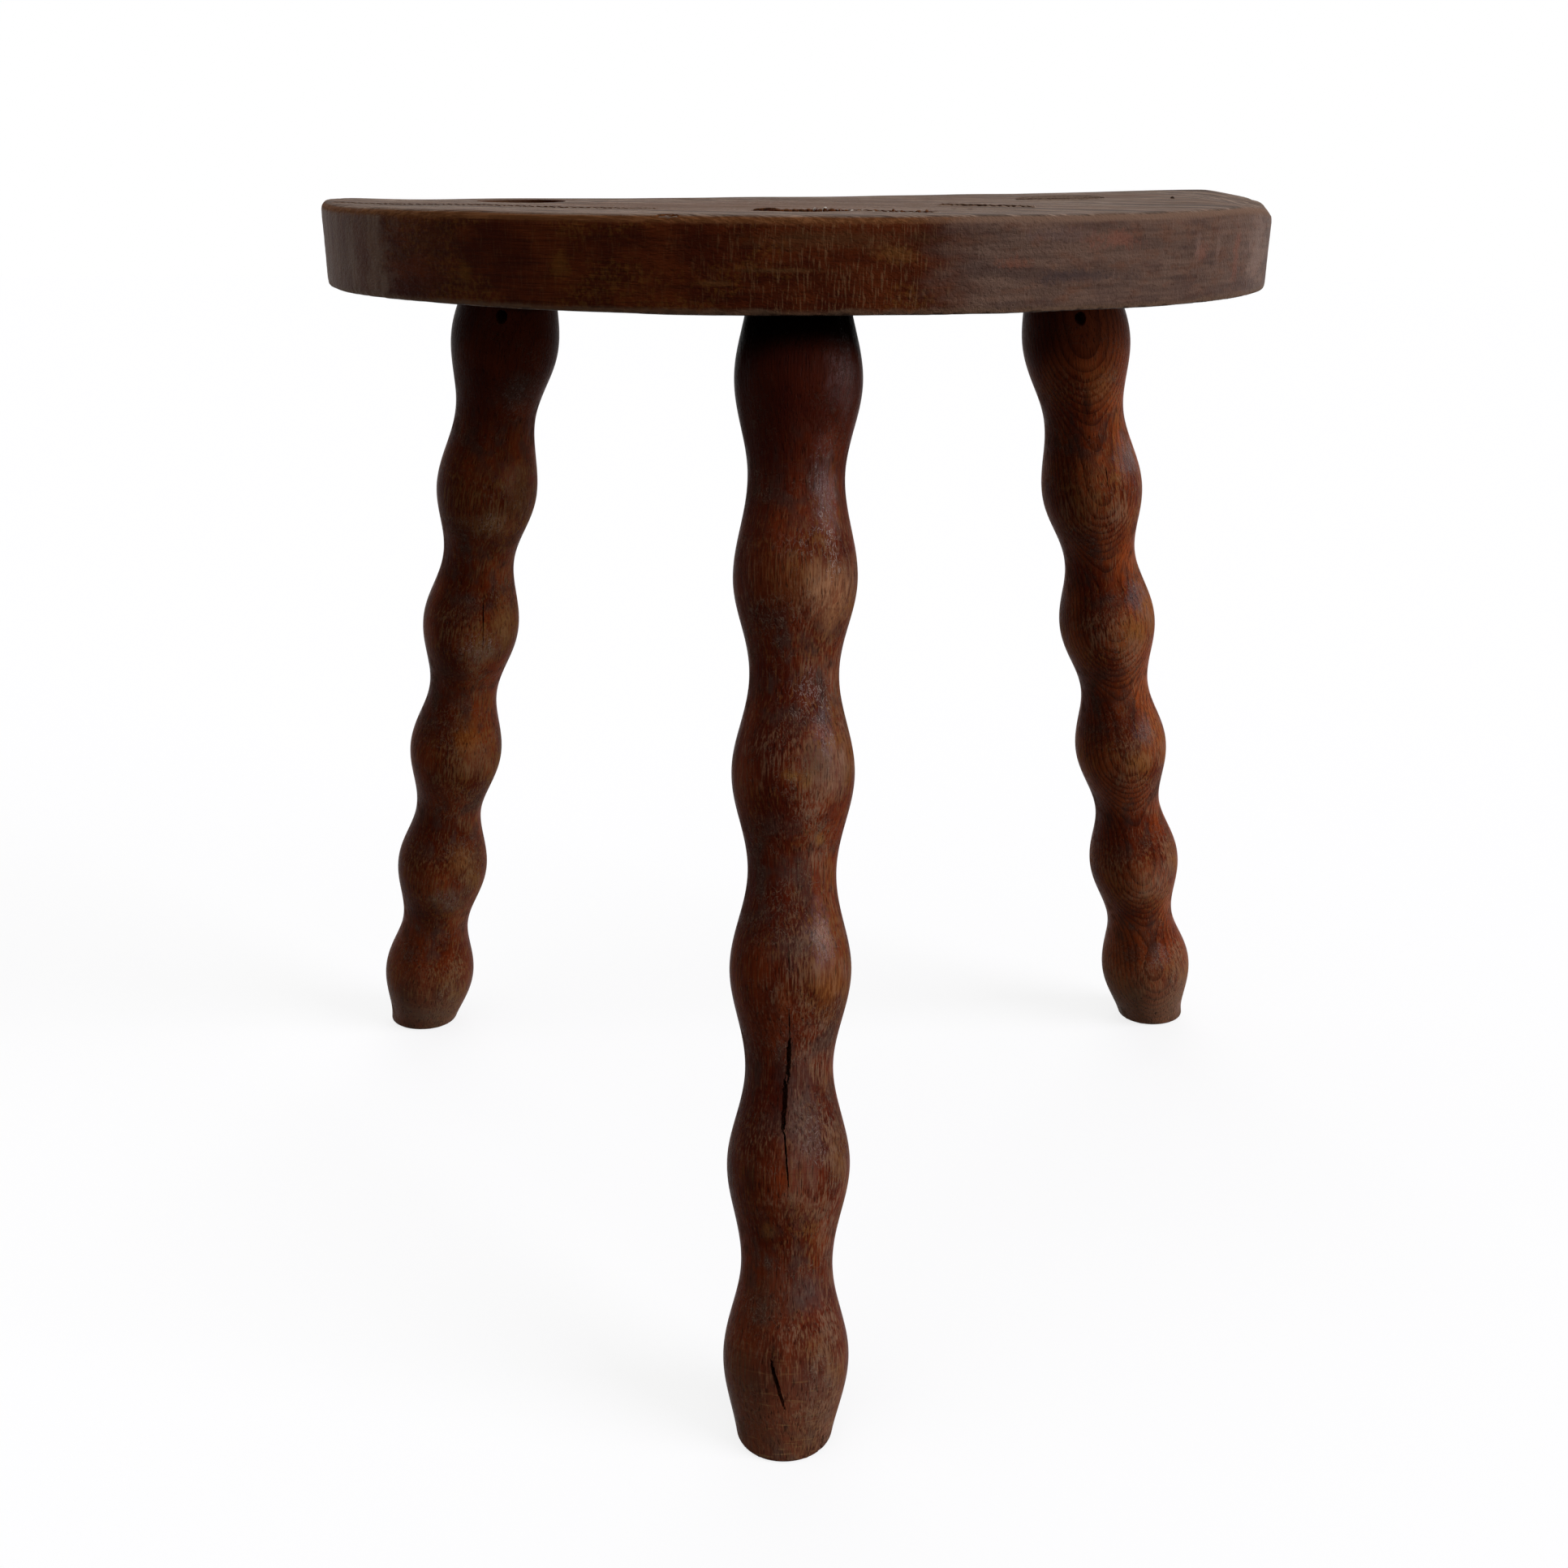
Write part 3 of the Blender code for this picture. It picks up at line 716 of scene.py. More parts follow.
legLooks = {
    # pith: where the tree's heart lay, mm from the leg's axis; ring: mm between growth rings
    # figure: how far they show; lean: radians that the grain leans forward, which makes the rings nested arcs
    # stain: its two shades; worn: the two colours under it; end: the two shades of the tenon's end
    # rubbed: how far the swells and the right side have lost the stain; dusty: how pale the foot is
    # fresh: mm below the seat where the wear begins; black and the soot band: soot with painted shade under
    # the seat, each with mm below it where it ends, and strength
    # putty: how strong the specks of filler on the tenon's end are
    # marks: drop below the seat, angle round from the front, width and height in mm, colour, strength
    # polish: the same without colour, where the wax is still shiny; then the same for the pale glints, painted
    # highlights on the crazed wax
    "front": {
        "pith": (20, -46), "lean": 0.03, "ring": 2.3, "figure": 0.3, "stain": ("#421307", "#62260f"),
        "worn": ("#6e4826", "#7a5c46"), "rubbed": (0.3, 0.8), "dusty": 0.18,
        "fresh": 80, "black": (20, 0.98), "sootAndShade": (86, 0.8), "end": ("#35271f", "#57463a"), "putty": 0.8,
        "polish": [
            (60, 33, 6, 20, 0.65), (136, 32, 6, 11, 0.6), (201, 33, 6, 14, 1.0), (22, 42, 8, 20, 0.35),
        ],
        "marks": [
            (26, -8, 13, 16, "#3a0f08", 0.5), (88, 4, 13, 11, "#754a26", 0.35),
            # the first mark on the next line is worn tan wood with a painted highlight, on the right of the
            # second swell
            (92, 38, 15, 16, "#9c6f4d", 0.5), (119, 30, 6, 14, "#2f2825", 0.6),
            (150, -3, 4, 2.5, "#86602f", 0.5), (86, -38, 9, 16, "#64290f", 0.4),
            (149, 42, 8, 13, "#8f6f5c", 0.4), (54, -35, 9, 14, "#2f0b06", 0.4),
            (181, 5, 12, 8, "#3f332f", 0.3), (151, 12, 3, 4, "#86602f", 0.45),
            (146, 22, 8, 10, "#4d4038", 0.5), (170, 33, 3, 3, "#8a6232", 0.6),
            (217, 40, 7, 12, "#8a5528", 0.45), (221, -8, 3, 9, "#743717", 0.45),
            (204, 5, 12, 8, "#4a3c34", 0.45), (250, -12, 4, 20, "#2c0b06", 0.7),
            (262, 14, 8, 34, "#625046", 0.5), (277, -7, 2.5, 5, "#7a3012", 0.55),
            (278, -40, 5, 7, "#211511", 0.55), (295, -24, 3.5, 4, "#7d5227", 0.4),
            (315, 28, 9, 8, "#54463f", 0.5), (318, -20, 9, 12, "#4d3b2c", 0.4),
            (338, -12, 2.5, 13, "#2a0b06", 0.65), (343, 25, 12, 10, "#4a2a24", 0.45),
            (340, -45, 8, 12, "#3b2c20", 0.45),
        ],
        "paintedGlints": [
            (62, 30, 6, 19, 0.5), (78, 34, 5, 12, 0.5), (124, 22, 9, 14, 0.3), (137, 32, 5, 7, 0.4),
            (203, 33, 7, 9, 0.3), (264, 26, 8, 14, 0.2), (78, 0, 9, 7, 0.15),
        ],
    },
    "left_rear": {
        "pith": (-34, 30), "lean": 0.03, "ring": 2.6, "figure": 0.25, "stain": ("#451505", "#682a10"),
        "worn": ("#6e4a25", "#735639"), "rubbed": (0.4, 0.6), "dusty": 0.3,
        "fresh": 75, "black": (6, 0.7), "sootAndShade": (70, 0.57), "end": ("#35271f", "#57463a"),
        "polish": [(75, 30, 6, 10, 0.3)],
        "marks": [
            (35, 31, 9, 12, "#4f4238", 0.55), (80, 47, 8, 15, "#7a5530", 0.5),
            (94, 17, 15, 7, "#7c5832", 0.5), (141, 51, 7, 13, "#7a5530", 0.5),
            (153, 28, 13, 8, "#66513e", 0.55), (197, 22, 7, 15, "#82491a", 0.55),
            (207, 39, 9, 10, "#6f5036", 0.45), (262, 36, 8, 11, "#7f542d", 0.45),
            (283, 22, 12, 11, "#554639", 0.6), (352, 4, 16, 8, "#5d4c3d", 0.55),
            (330, -10, 9, 12, "#5a2110", 0.4),
        ],
        "paintedGlints": [
            (38, 31, 9, 12, 0.25), (150, 26, 12, 10, 0.25), (94, 15, 12, 8, 0.25), (283, 20, 9, 9, 0.25),
        ],
    },
    "right_rear": {
        "pith": (4, -120), "lean": 0.24, "ring": 1.7, "figure": 0.65, "stain": ("#5e210c", "#8a411e"),
        "worn": ("#84552d", "#866248"), "rubbed": (0.75, 0.5), "dusty": 0.5,
        "fresh": 40, "black": (5, 0.6), "sootAndShade": (38, 0.65), "end": ("#5a493d", "#806b5b"),
        "polish": [(71, 46, 8, 12, 0.7), (134, 40, 7, 10, 0.7), (199, 32, 7, 10, 0.6), (323, 16, 6, 7, 0.7)],
        "marks": [
            (37, 17, 7, 10, "#8a4b1d", 0.5), (43, -3, 2, 13, "#1c0805", 0.6),
            (71, 49, 7, 12, "#35262a", 0.5), (112, 33, 7, 15, "#8a3a12", 0.5),
            (134, 42, 6, 9, "#35262a", 0.5), (148, 32, 9, 6, "#8a5524", 0.5),
            (199, 31, 6, 10, "#3a2b30", 0.5), (211, 14, 10, 7, "#8a5524", 0.5),
            (252, 44, 6, 10, "#8a3a12", 0.5), (258, 13, 4, 5, "#200c09", 0.65),
            (341, -33, 9, 9, "#80603f", 0.4), (278, 20, 13, 12, "#86705c", 0.35),
        ],
        "paintedGlints": [(71, 46, 8, 12, 0.2), (134, 40, 7, 10, 0.2), (199, 31, 7, 10, 0.2), (323, 15, 8, 9, 0.2)],
    },
}


markDepth = {"leg": 9, "edge": 12, "top": 9}   # mm that a mark reaches into the wood
legMarkGain = 1.15   # times the strengths of the marks above


def legMark(drop, angle, wide, tall):
    return legSpot(drop, angle), radians(angle), (wide, markDepth["leg"], tall)


def legWood(name):
    # turned beech under old red-brown stain and wax: deep red where the wax holds, rubbed through in upright
    # flecks to ochre and grey-brown wood, grey with dirt in the necks, black under the seat: soot and painted
    # shade
    look = legLooks[name]
    matrix = legMatrix(name)
    material, tree, shader = newMaterial("stainedBeech" + name.title().replace("_", ""))
    point = addNode(tree, "Mapping", {   # metres from the leg's own axis, with Z along it
        "Vector": addNode(tree, "TexCoord", give="Object"), "Location": matrix.translation,
        "Rotation": matrix.to_euler()}, vector_type="TEXTURE")
    along = addNode(tree, "SeparateXYZ", [point], give="Z")
    flat = addNode(tree, "VectorMath", [point, (1, 1, 0)], operation="MULTIPLY")
    out = addNode(tree, "VectorMath", [flat], give="Value", operation="LENGTH")
    swell = addNode(tree, "MapRange", {"Value": out, "From Min": 15.5 * mm, "From Max": 20 * mm}, **smooth)

    # stain that took unevenly over the growth rings, drawn as the lathe cut through them
    pithX, pithY = look["pith"]
    heart = addNode(tree, "Mapping", {
        "Vector": point, "Location": (-pithX * mm, -pithY * mm, 0), "Rotation": (look["lean"], 0.02, 0)})
    rings = addNode(tree, "TexWave", {
        "Vector": heart, "Scale": waveLength / (look["ring"] * mm), "Distortion": 2.6, "Detail": 2.0,
        "Detail Scale": 0.35}, give=1, wave_type="RINGS", rings_direction="Z", wave_profile="SAW")
    ringLine = addNode(tree, "MapRange", {
        "Value": rings, "From Min": 0.45, "From Max": 1.0, "To Max": look["figure"]})
    colour = coat(*look["stain"], speckle(point, (22, 22, 38), 0.36, 0.64, 3.1))
    colour = coat(colour, "#250b06", ringLine)

    # how worn each place is: most on the swells, on the side that faces right and forward, and between rings
    side = addNode(tree, "VectorMath", [flat], operation="NORMALIZE")
    side = addNode(tree, "VectorMath", [side, (0.8, -0.6, 0)], give="Value", operation="DOT_PRODUCT")
    pale = addNode(tree, "MapRange", {
        "Value": side, "From Min": 0.4, "From Max": 0.95, "To Max": look["rubbed"][1]}, **smooth)
    wear = addNode(tree, "Math", [swell, look["rubbed"][0], pale], operation="MULTIPLY_ADD")
    lower = addNode(tree, "MapRange", {
        "Value": along, "From Min": -0.45 * look["fresh"] * mm, "From Max": -look["fresh"] * mm,
        "To Min": 0.25})
    patchy = speckle(point, (12, 12, 20), 0.3, 0.6, 14.2, 4.0, within=lower)
    wear = addNode(tree, "Math", [wear, patchy], operation="MULTIPLY")
    wear = addNode(tree, "Math", [ringLine, -0.6, wear], operation="MULTIPLY_ADD")

    # the stain is gone in upright flecks and short curls, drawn about half as wide again as they are
    fleck = speckle(point, (0.6, 0.6, 8), 0.2, 0.8, 2.2, within=0.8)
    curl = speckle(point, (1.2, 1.2, 1.8), 0.2, 0.8, 6.6, twist=1.5)
    grit = addNode(tree, "Math", [curl, 0.2, fleck], operation="MULTIPLY_ADD")
    through = addNode(tree, "Math", [wear, 0.42, grit], operation="MULTIPLY_ADD")
    through = addNode(tree, "MapRange", {
        "Value": through, "From Min": 0.5, "From Max": 1.12, "To Max": lower}, **smooth)
    bare = coat(*look["worn"], speckle(point, (14, 14, 17), 0.36, 0.64, 7.7, 3.0))
    colour = coat(colour, bare, through, 0.75)

    # dirt in the necks, and what happened to this leg alone
    hollow = addNode(tree, "Math", [1.0, swell], operation="SUBTRACT")
    dirt = speckle(point, (6, 6, 9), 0.44, 0.66, 1.9, 4.0, within=hollow)
    colour = coat(colour, "#3b2c26", dirt, 0.6)
    ragged = speckle(point, (4, 4, 7), 0.25, 0.75, 5.3, 4.0, within=0.5)
    ragged = addNode(tree, "Math", [grit, 0.5, ragged], operation="MULTIPLY_ADD")
    streaky = addNode(tree, "MapRange", {"Value": grit, "From Min": 0.25, "From Max": 0.75, "To Min": 0.4})
    for *place, paint, strength in look["marks"]:
        mark = markShare(point, *legMark(*place), ragged, streaky)
        colour = coat(colour, paint, mark, legMarkGain * strength)

    # scuffs run round the foot, faint lathe lines round the whole leg, and pores along it
    nearFoot = addNode(tree, "MapRange", {
        "Value": along, "From Min": -325 * mm, "From Max": -358 * mm, "To Min": 0.08})
    colour = coat(colour, "#80603a", speckle(point, (7, 7, 0.8), 0.58, 0.7, 10.4, within=nearFoot), 0.5)
    dusty = addNode(tree, "MapRange", {
        "Value": along, "From Min": -322 * mm, "From Max": -356 * mm}, **smooth)
    colour = coat(colour, "#745d49", dusty, look["dusty"])
    colour = coat(colour, "#1d0905", speckle(point, (50, 50, 0.8), 0.6, 0.72, 11.7, 1.0), 0.15)
    pore = speckle(point, (0.6, 0.6, 4.5), 0.58, 0.72, 6.1, 1.0)
    colour = coat(colour, "#170704", pore, 0.55)

    # old wax crazed into short curly lines, with pale painted highlights on them at the listed places
    lines = addNode(tree, "Mapping", {"Vector": point, "Scale": (650, 650, 360)})
    lines = addNode(tree, "TexNoise", {"Vector": lines, "Scale": 1.0, "Detail": 3.0, "Distortion": 0.8})
    lines = addNode(tree, "Math", [lines, 0.5], operation="SUBTRACT")
    lines = addNode(tree, "Math", [lines], operation="ABSOLUTE")
    lines = addNode(tree, "MapRange", {"Value": lines, "From Min": 0.03, "From Max": 0.0}, **smooth)
    crazed = speckle(point, (16, 16, 12), 0.46, 0.66, 4.6, 3.0, within=lines)
    colour = coat(colour, "#8f7a66", crazed, 0.3)
    # painted highlights: pale glints laid over the crazed lines
    for *place, strength in look["paintedGlints"]:
        colour = coat(colour, "#b3a298", markShare(point, *legMark(*place), ragged, lines), strength)

    # soot with painted shade under the seat, and bare end grain where the tenon comes through
    for (end, strength), start, paint in ((look["sootAndShade"], 14, "#230905"), (look["black"], 13, "#060201")):
        sootAndShadeMask = addNode(tree, "MapRange", {
            "Value": along, "From Min": -end * mm, "From Max": -min(start, 0.5 * end) * mm}, **smooth)
        colour = coat(colour, paint, sootAndShadeMask, strength)
    tenonEnd = addNode(tree, "MapRange", {"Value": along, "From Min": 24 * mm, "From Max": 27 * mm})
    endGrain = coat(*look["end"], speckle(point, (1.1, 1.1, 9), 0.42, 0.62, 9.0))
    if "putty" in look:
        specks = speckle(point, (1.6, 1.6, 1.6), 0.73, 0.77, 12.0, 0.0)
        endGrain = coat(endGrain, "#b5aca0", specks, look["putty"])
    colour = coat(colour, endGrain, tenonEnd)

    # worn wax: shiny on the stained wood, dull where it is rubbed or dirty
    polish = 0.0
    for *place, strength in look["polish"]:
        handled = markShare(point, *legMark(*place), ragged)
        polish = addNode(tree, "Math", [handled, strength, polish], operation="MULTIPLY_ADD")
    dull = addNode(tree, "Math", [through, dirt], operation="ADD")
    dull = addNode(tree, "Math", [polish, -1.0, dull], operation="MULTIPLY_ADD")
    gloss = addNode(tree, "MapRange", {"Value": dull, "To Min": 0.28, "To Max": 0.6})
    gloss = addNode(tree, "Math", [gloss, tenonEnd], operation="MAXIMUM")
    shine = addNode(tree, "MapRange", {"Value": polish, "To Min": 0.008, "To Max": 0.2})

    # relief: open pores, raised fibres and curled wax
    relief = addNode(tree, "Math", [grit, pore], operation="SUBTRACT")
    waxed = addNode(tree, "Math", [lines, polish], operation="MULTIPLY")
    for curled in (crazed, waxed):
        relief = addNode(tree, "Math", [curled, 1.5, relief], operation="MULTIPLY_ADD")
    bump = addNode(tree, "Bump", {"Height": relief, "Strength": 0.6, "Distance": 0.3 * mm})
    shader.inputs["Specular IOR Level"].default_value = 0.03   # a uniform value under the link; for a reader that drops the link
    fill(tree, shader, {
        "Base Color": colour, "Roughness": gloss, "Specular IOR Level": shine, "IOR": 1.45, "Normal": bump})
    return material


seatMarks = [
    # across from the middle, below the top, width and height in mm on the front edge, colour, strength
    (28, 11, 7, 3.5, "#7a5026", 0.35), (98, 8, 13, 4, "#7c4c3b", 0.5), (65, 14, 7, 3, "#724432", 0.5),
    (132, 13, 5, 4, "#7d5242", 0.5), (148, 15, 4, 11, "#7c4d3c", 0.42), (88, 19, 26, 2.5, "#352d2e", 0.5),
    (-147, 15, 6, 9, "#4a2a20", 0.55), (-5, 16, 20, 1.0, "#6b4a2b", 0.35), (-28, 20, 9, 0.9, "#5f3f22", 0.35),
    (-75, 16, 4, 7, "#6f4a1c", 0.28), (-108, 19, 4, 5, "#6f4a1c", 0.28), (-42, 0.6, 5, 1.6, "#8a5230", 0.6),
    (10, 7, 34, 4, "#553c24", 0.3), (-118, 10, 14, 12, "#2c1007", 0.4), (112, 1.4, 15, 0.7, "#a8937f", 0.7),
    (130, 9, 2, 9, "#8a7164", 0.22), (139, 12, 2, 8, "#8a7164", 0.22), (78, 6, 16, 2.5, "#5d4b46", 0.4),
    (160, 14, 16, 18, "#8a7264", 0.35),
]


topCrumbs = [(5, 47.5, 13, 4), (28, 37, 17, 2.5)]   # pale filler: across, from the front, width, depth in mm
topMarks = [
    # the same, then colour and strength: a warm stain in the middle, painted shade in the open slot, the worm
    # hole darkened
    (-15, 95, 95, 70, "#52331c", 0.7), (-11.3, 48.2, 6, 1.2, "#160d0a", 0.85),
    (136, 133.5, 1.4, 1.6, "#1c120d", 0.9),
]
grainTurn = 0.5   # radians from the back edge to the grain


def edgeMark(across, below, wide, tall):
    radius = seatPlank["radius"]
    forward = sqrt(radius ** 2 - (across * mm) ** 2)
    place = (across * mm, seatCentreY - forward, seatTop - below * mm)
    return place, asin(across * mm / radius), (wide, markDepth["edge"], tall)


def topMark(across, back, wide, deep, turn=0.0):
    return topPlace(across, back), turn, (wide, deep, markDepth["top"])


def seatWood():
    # old elm plank: dark stain gone patchy on its edge, the top rubbed down to bare grey-brown wood
    material, tree, shader = newMaterial("agedElm")
    point = addNode(tree, "TexCoord", give="Object")
    place = addNode(tree, "SeparateXYZ", [point]).node.outputs
    facing = addNode(tree, "SeparateXYZ", [addNode(tree, "NewGeometry", give="Normal")], give="Z")
    level = {}
    for part, start, full in (("top", 0.72, 0.94), ("arris", 0.1, 0.5), ("lowerArris", -0.12, -0.4),
                              ("under", -0.5, -0.85)):
        level[part] = addNode(tree, "MapRange", {
            "Value": facing, "From Min": start, "From Max": full}, **smooth)

    # the edge: patchy stain, mottled ochre where it has gone, dark streaks along the grain
    edge = coat("#361206", "#4b1f0b", speckle(point, (16, 16, 9), 0.36, 0.64, 2.3, 4.0))
    mottle = speckle(point, (1.3, 1.3, 1.6), 0.3, 0.7, 3.3, 3.0)
    ochre = speckle(point, (44, 44, 20), 0.36, 0.64, 6.2, within=mottle)
    ochre = addNode(tree, "MapRange", {"Value": ochre, "From Min": 0.3, "From Max": 0.75})
    edge = coat(edge, "#6f4a1e", ochre, 0.27)
    edge = coat(edge, "#1b0905", speckle(point, (26, 26, 1.1), 0.45, 0.66, 8.8, 3.0), 0.3)

    # short upright scraper marks, closest together near the middle
    fromMiddle = addNode(tree, "Math", [place["X"], -18 * mm], operation="ADD")
    fromMiddle = addNode(tree, "Math", [fromMiddle], operation="ABSOLUTE")
    toolZone = addNode(tree, "MapRange", {
        "Value": fromMiddle, "From Min": 56 * mm, "From Max": 18 * mm, "To Min": 0.22})
    toolMark = speckle(point, (0.6, 0.6, 5), 0.52, 0.68, 5.5, within=toolZone)
    edge = coat(edge, "#6e5136", toolMark, 0.45)

    # to the right the stain is rubbed away to dull grey-brown wood, its grey partly a painted sheen, and the
    # left end is chalky with upright bands, but the sawn back edge has neither
    wander = speckle(point, (9, 9, 5), 0.3, 0.7, 9.9, 3.0)
    worn = addNode(tree, "Math", [wander, 9 * mm, place["X"]], operation="MULTIPLY_ADD")
    behind = addNode(tree, "Math", [wander, 14 * mm, place["Y"]], operation="MULTIPLY_ADD")
    curved = addNode(tree, "MapRange", {
        "Value": behind, "From Min": seatBack + 14 * mm, "From Max": seatBack - 22 * mm}, **smooth)
    bareAndSheenShare, chalkShare = [
        addNode(tree, "MapRange", {
            "Value": worn, "From Min": start * mm, "From Max": full * mm, "To Max": curved}, **smooth)
        for start, full in ((34, 62), (-128, -136))]
    bare = "#6c5547"
    for paint, strength, *pattern in (
            ("#4a3a31", 1.0, (30, 30, 1.7), 0.22, 0.86, 12.6, 4.0),
            ("#633a24", 0.35, (10, 10, 4), 0.48, 0.7, 15.5, 4.0),
            ("#382b29", 0.4, (24, 24, 6), 0.46, 0.66, 21.7, 3.0),
            ("#34221b", 0.5, (3, 3, 1.6), 0.54, 0.74, 17.3, 3.0),
            ("#8d7668", 0.18, (0.8, 0.8, 8), 0.58, 0.74, 19.1, 2.0)):
        bare = coat(bare, paint, speckle(point, *pattern), strength)
    edge = coat(edge, bare, bareAndSheenShare, 0.88)
    chalk = coat("#4f352a", "#705a4b", speckle(point, (8, 8, 30), 0.36, 0.66, 7.1, 4.0))
    edge = coat(edge, chalk, chalkShare, 0.7)
    ragged = addNode(tree, "Math", [wander, mottle], operation="ADD")
    ragged = addNode(tree, "Math", [ragged, 0.5], operation="MULTIPLY")
    for *oval, paint, strength in seatMarks:
        edge = coat(edge, paint, markShare(point, *edgeMark(*oval), ragged), strength)
    # painted highlight: the lower arris is painted lighter, as if it caught the light
    edge = coat(edge, "#6b533f", level["lowerArris"], 0.6)

    # grain runs as the splits do, from the back at the left to the front at the right, the tree's heart below
    grain = addNode(tree, "Mapping", {"Vector": point, "Rotation": (0, 0, grainTurn)})
    heart = addNode(tree, "Mapping", {
        "Vector": grain, "Location": (0, 0.012, -0.29), "Rotation": (0, 0.02, 0)})
    rings = addNode(tree, "TexWave", {
        "Vector": heart, "Scale": waveLength / (4.2 * mm), "Distortion": 5.0, "Detail": 3.0,
        "Detail Scale": 0.25}, give=1, wave_type="RINGS", rings_direction="X", wave_profile="SAW")
    ringShade = addNode(tree, "MapRange", {"Value": rings, "From Min": 0.4, "From Max": 1.0, "To Max": 0.7})
    fibre = speckle(grain, (55, 1.0, 1.0), 0.38, 0.66, 1.7, 3.0)
    openPore = speckle(grain, (16, 1.0, 1.0), 0.57, 0.70, 4.9, 1.0)

    # the arris is rubbed to warm brown, the top is bare and grey, the underside is raw, sawn across and dusty
    arris = coat("#523018", "#6b4428", fibre)
    arris = coat(arris, "#6b5546", bareAndSheenShare, 0.85)
    top = coat("#5a493d", "#8c7564", fibre)
    top = coat(top, "#4a392e", ringShade, 0.8)
    top = coat(top, "#35271f", speckle(grain, (130, 8, 8), 0.5, 0.6, 16.4, 4.0), 0.7)
    top = coat(top, "#53351f", speckle(grain, (70, 26, 20), 0.46, 0.7, 11.0, 4.0), 0.6)
    top = coat(top, "#231712", openPore, 0.7)
    under = coat("#38261c", "#5d4737", speckle(point, (3.2, 60, 60), 0.42, 0.6, 13.0, 2.0))
    colour = coat(edge, arris, level["arris"])
    colour = coat(colour, top, level["top"])
    colour = coat(colour, under, level["under"])
    for *oval, paint, strength in topMarks:
        colour = coat(colour, paint, markShare(point, *topMark(*oval), mottle), strength)
    crumbs = speckle(point, (1.6, 1.6, 1.6), 0.64, 0.69, 12.0, 0.0)
    for spill in topCrumbs:
        colour = coat(colour, "#d2cabd", markShare(point, *topMark(*spill, -grainTurn), mottle, crumbs), 0.9)

    gloss = addNode(tree, "MapRange", {"Value": level["arris"], "To Min": 0.45, "To Max": 0.62})
    relief = addNode(tree, "Math", [fibre, openPore], operation="SUBTRACT")
    relief = addNode(tree, "Math", [toolMark, 0.5, relief], operation="MULTIPLY_ADD")
    bump = addNode(tree, "Bump", {"Height": relief, "Strength": 0.5, "Distance": 0.3 * mm})
    fill(tree, shader, {
        "Base Color": colour, "Roughness": gloss, "IOR": 1.45, "Specular IOR Level": 0.015, "Normal": bump})
    return material


def wedgeWood():
    # split oak: pale brown with dark flecks, and dull
    material, tree, shader = newMaterial("splitOak")
    point = addNode(tree, "TexCoord", give="Object")
    colour = coat("#2f2118", "#5f4a37", speckle(point, (2.2, 0.7, 12), 0.4, 0.62, 2.0, 3.0))
    fill(tree, shader, {"Base Color": colour, "Roughness": 0.8, "IOR": 1.45, "Specular IOR Level": 0.015})
    return material


def rustedIron():
    # wrought nail: nearly black with dull orange rust
    material, tree, shader = newMaterial("rustedIron")
    point = addNode(tree, "TexCoord", give="Object")
    rust = speckle(point, (1.6, 1.6, 1.6), 0.42, 0.6, 3.0, 4.0)
    metal = addNode(tree, "MapRange", {"Value": rust, "To Min": 0.9, "To Max": 0.0})
    fill(tree, shader, {
        "Base Color": coat("#241f1d", "#4a2a1a", rust), "Metallic": metal, "Roughness": 0.65})
    return material


def dress(piece, material):
    piece.data.materials.clear()
    piece.data.materials.append(material)


dress(seat, seatWood())
oak = wedgeWood()
iron = rustedIron()
for name in legs:
    dress(legs[name]["leg"], legWood(name))
    dress(legs[name]["wedge"], oak)
    dress(legs[name]["nail"], iron)
print("materials made")


# stage, light and camera

camera = {
    "place": (-10.9 * mm, -687.8 * mm, 396.8 * mm), "down": 18.23, "right": 0.51, "roll": 0.19,
    "pixelLens": 2353, "pixelFrame": 1932, "sensor": 36.0,
}


def makeCamera():
    data = bpy.data.cameras.new("photoCamera")
    data.sensor_width = camera["sensor"]
    data.lens = camera["pixelLens"] / camera["pixelFrame"] * camera["sensor"]
    item = bpy.data.objects.new("photoCamera", data)
    linkIn(item)
    aim = Euler((radians(90 - camera["down"]), 0, -radians(camera["right"]))).to_matrix().to_4x4()
    roll = Matrix.Rotation(radians(camera["roll"]), 4, "Z")
    item.matrix_world = Matrix.Translation(camera["place"]) @ aim @ roll
    bpy.context.scene.camera = item


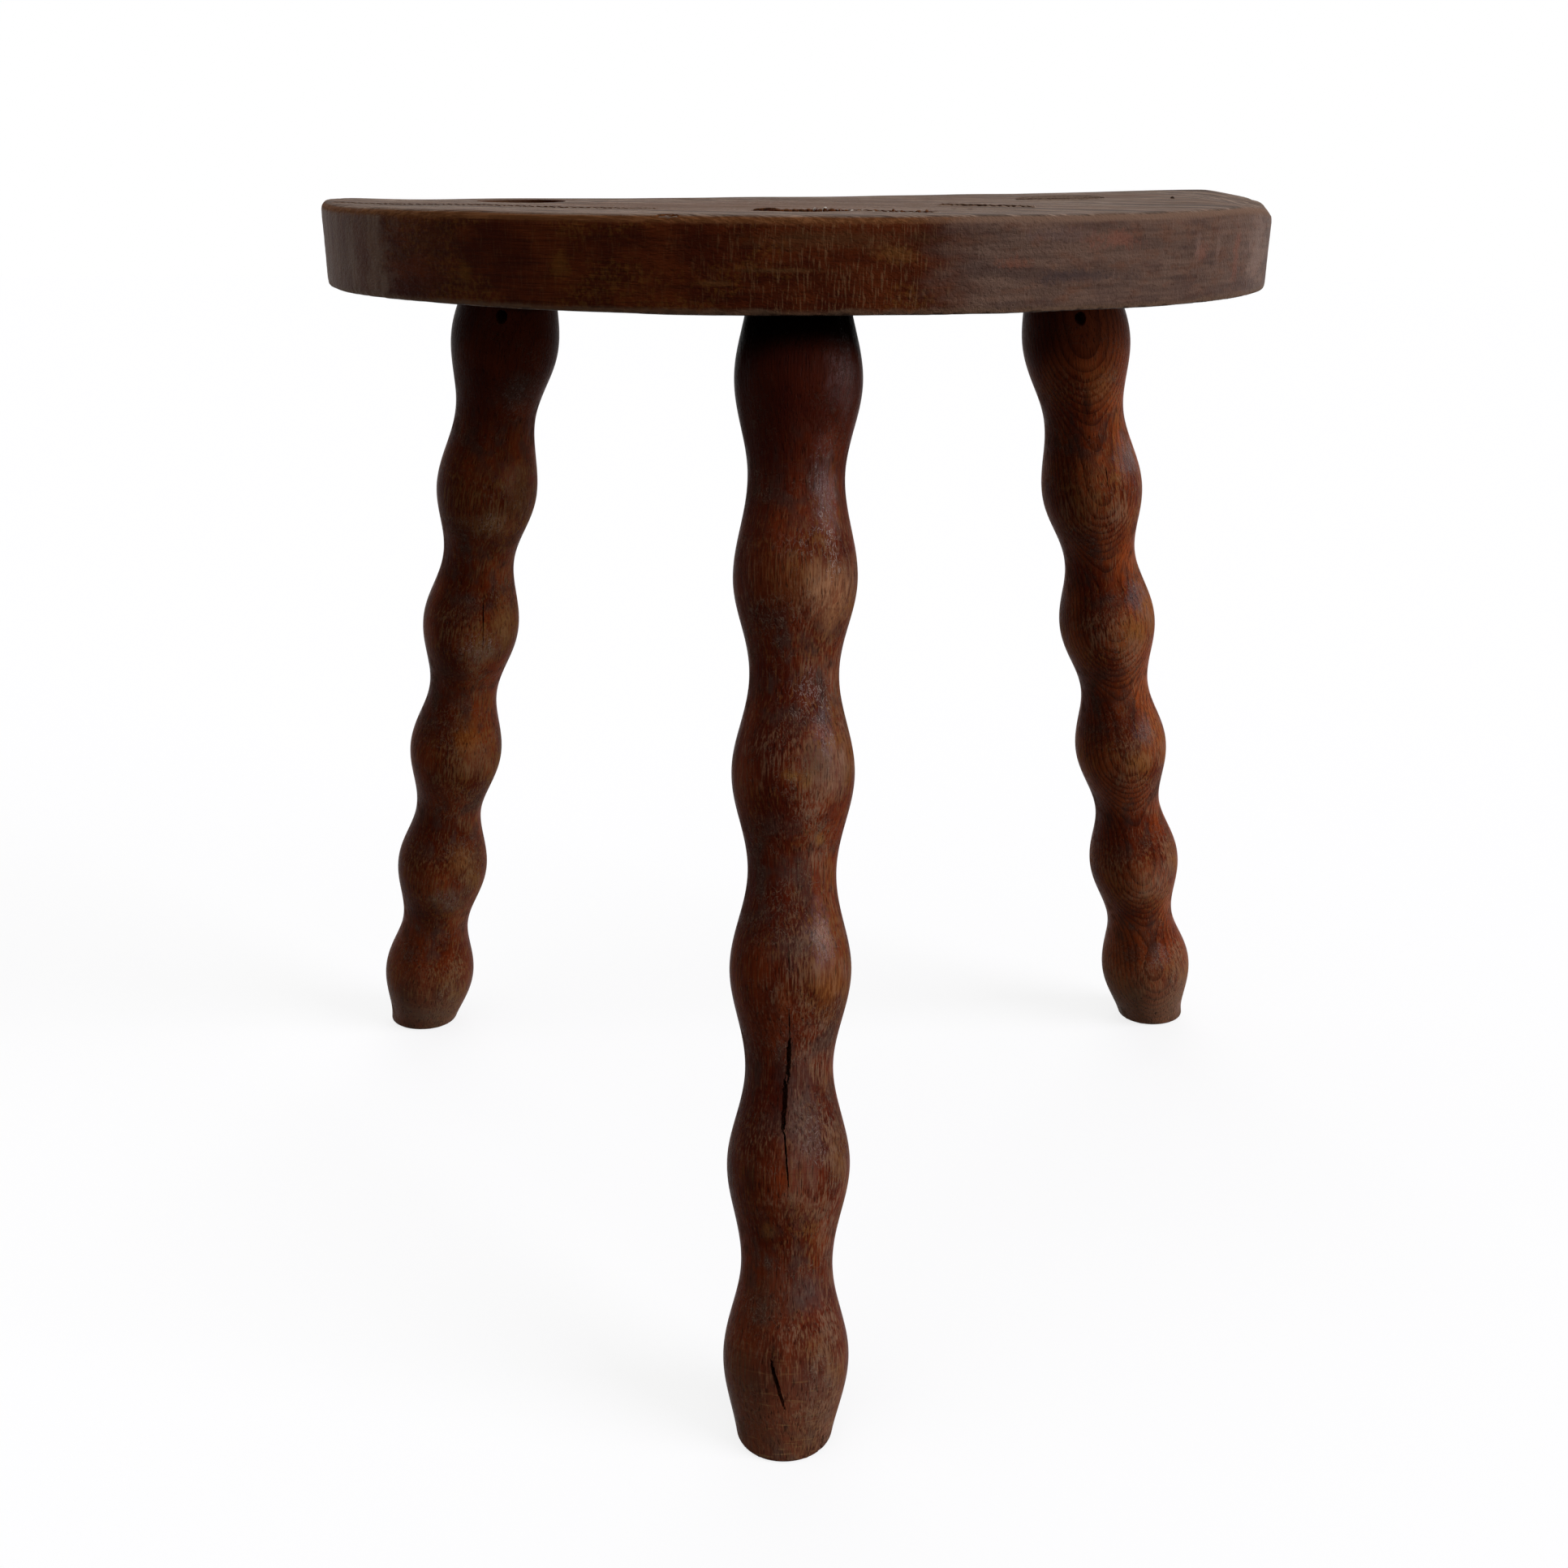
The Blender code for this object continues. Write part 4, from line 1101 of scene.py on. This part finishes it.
studio = {
    # light of the room, what keeps the floor white, and the lamps: direction, strength, spread, colour
    "room": 0.05, "floorLift": 0.81, "floorSize": 12,
    "lamps": {
        "windowLight": ((0.84, -0.38, 0.37), 0.95, 40, "#f6f4ff"),
        "fillLight": ((-0.25, -0.35, 0.9), 0.36, 80, "#ffffff"),
        "backLight": ((0.0, 0.8, 0.55), 0.3, 60, "#ffffff"),
    },
}


def makeSun(name, toward, strength, spread, colour):
    # a broad soft light from one side; strength 1 lights a white card that faces it to white
    data = bpy.data.lights.new(name, "SUN")
    data.energy = strength * pi
    data.angle = radians(spread)
    data.color = hexColour(colour)[:3]
    item = bpy.data.objects.new(name, data)
    linkIn(item)
    item.rotation_euler = Vector(toward).to_track_quat("Z", "Y").to_euler()


def seenDirectly(tree):
    # 1 for rays that show the room itself, in view or in a shine, and 0 for rays that carry light
    path = addNode(tree, "LightPath").node.outputs
    seen = path["Is Camera Ray"]
    for ray in ("Is Glossy Ray", "Is Transmission Ray"):
        seen = addNode(tree, "Math", [seen, path[ray]], operation="ADD", use_clamp=True)
    return seen


def makeStage():
    deselect()
    bpy.ops.mesh.primitive_plane_add(size=studio["floorSize"], location=(0, 0, 0))
    floor = bpy.context.object
    floor.name = "paleFloor"
    material, tree, shader = newMaterial("palePaper")
    lift = addNode(tree, "Math", [seenDirectly(tree), studio["floorLift"]], operation="MULTIPLY")
    fill(tree, shader, {
        "Base Color": hexColour("#808080"), "Roughness": 0.9, "Specular IOR Level": 0.0,
        "Emission Color": (1, 1, 1, 1), "Emission Strength": lift})
    dress(floor, material)
    world = bpy.data.worlds.new("softRoom")
    world.use_nodes = True
    bpy.context.scene.world = world
    tree = world.node_tree
    level = addNode(tree, "MapRange", {"Value": seenDirectly(tree), "To Min": studio["room"], "To Max": 1.0})
    fill(tree, tree.nodes["Background"], {"Color": (1, 1, 1, 1), "Strength": level})


makeCamera()
for name, lamp in studio["lamps"].items():
    makeSun(name, *lamp)
makeStage()
bpy.context.scene.view_settings.view_transform = "Standard"


# hand the pieces to the frame

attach(seat, "root")
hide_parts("seat")
for name in legs:
    for part, slot in (("leg", "leg_wood"), ("wedge", "wedge_wood"), ("nail", "nail_iron")):
        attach(legs[name][part], "root")
        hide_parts(name + "_" + part)

print("pieces:", len(everyPiece))
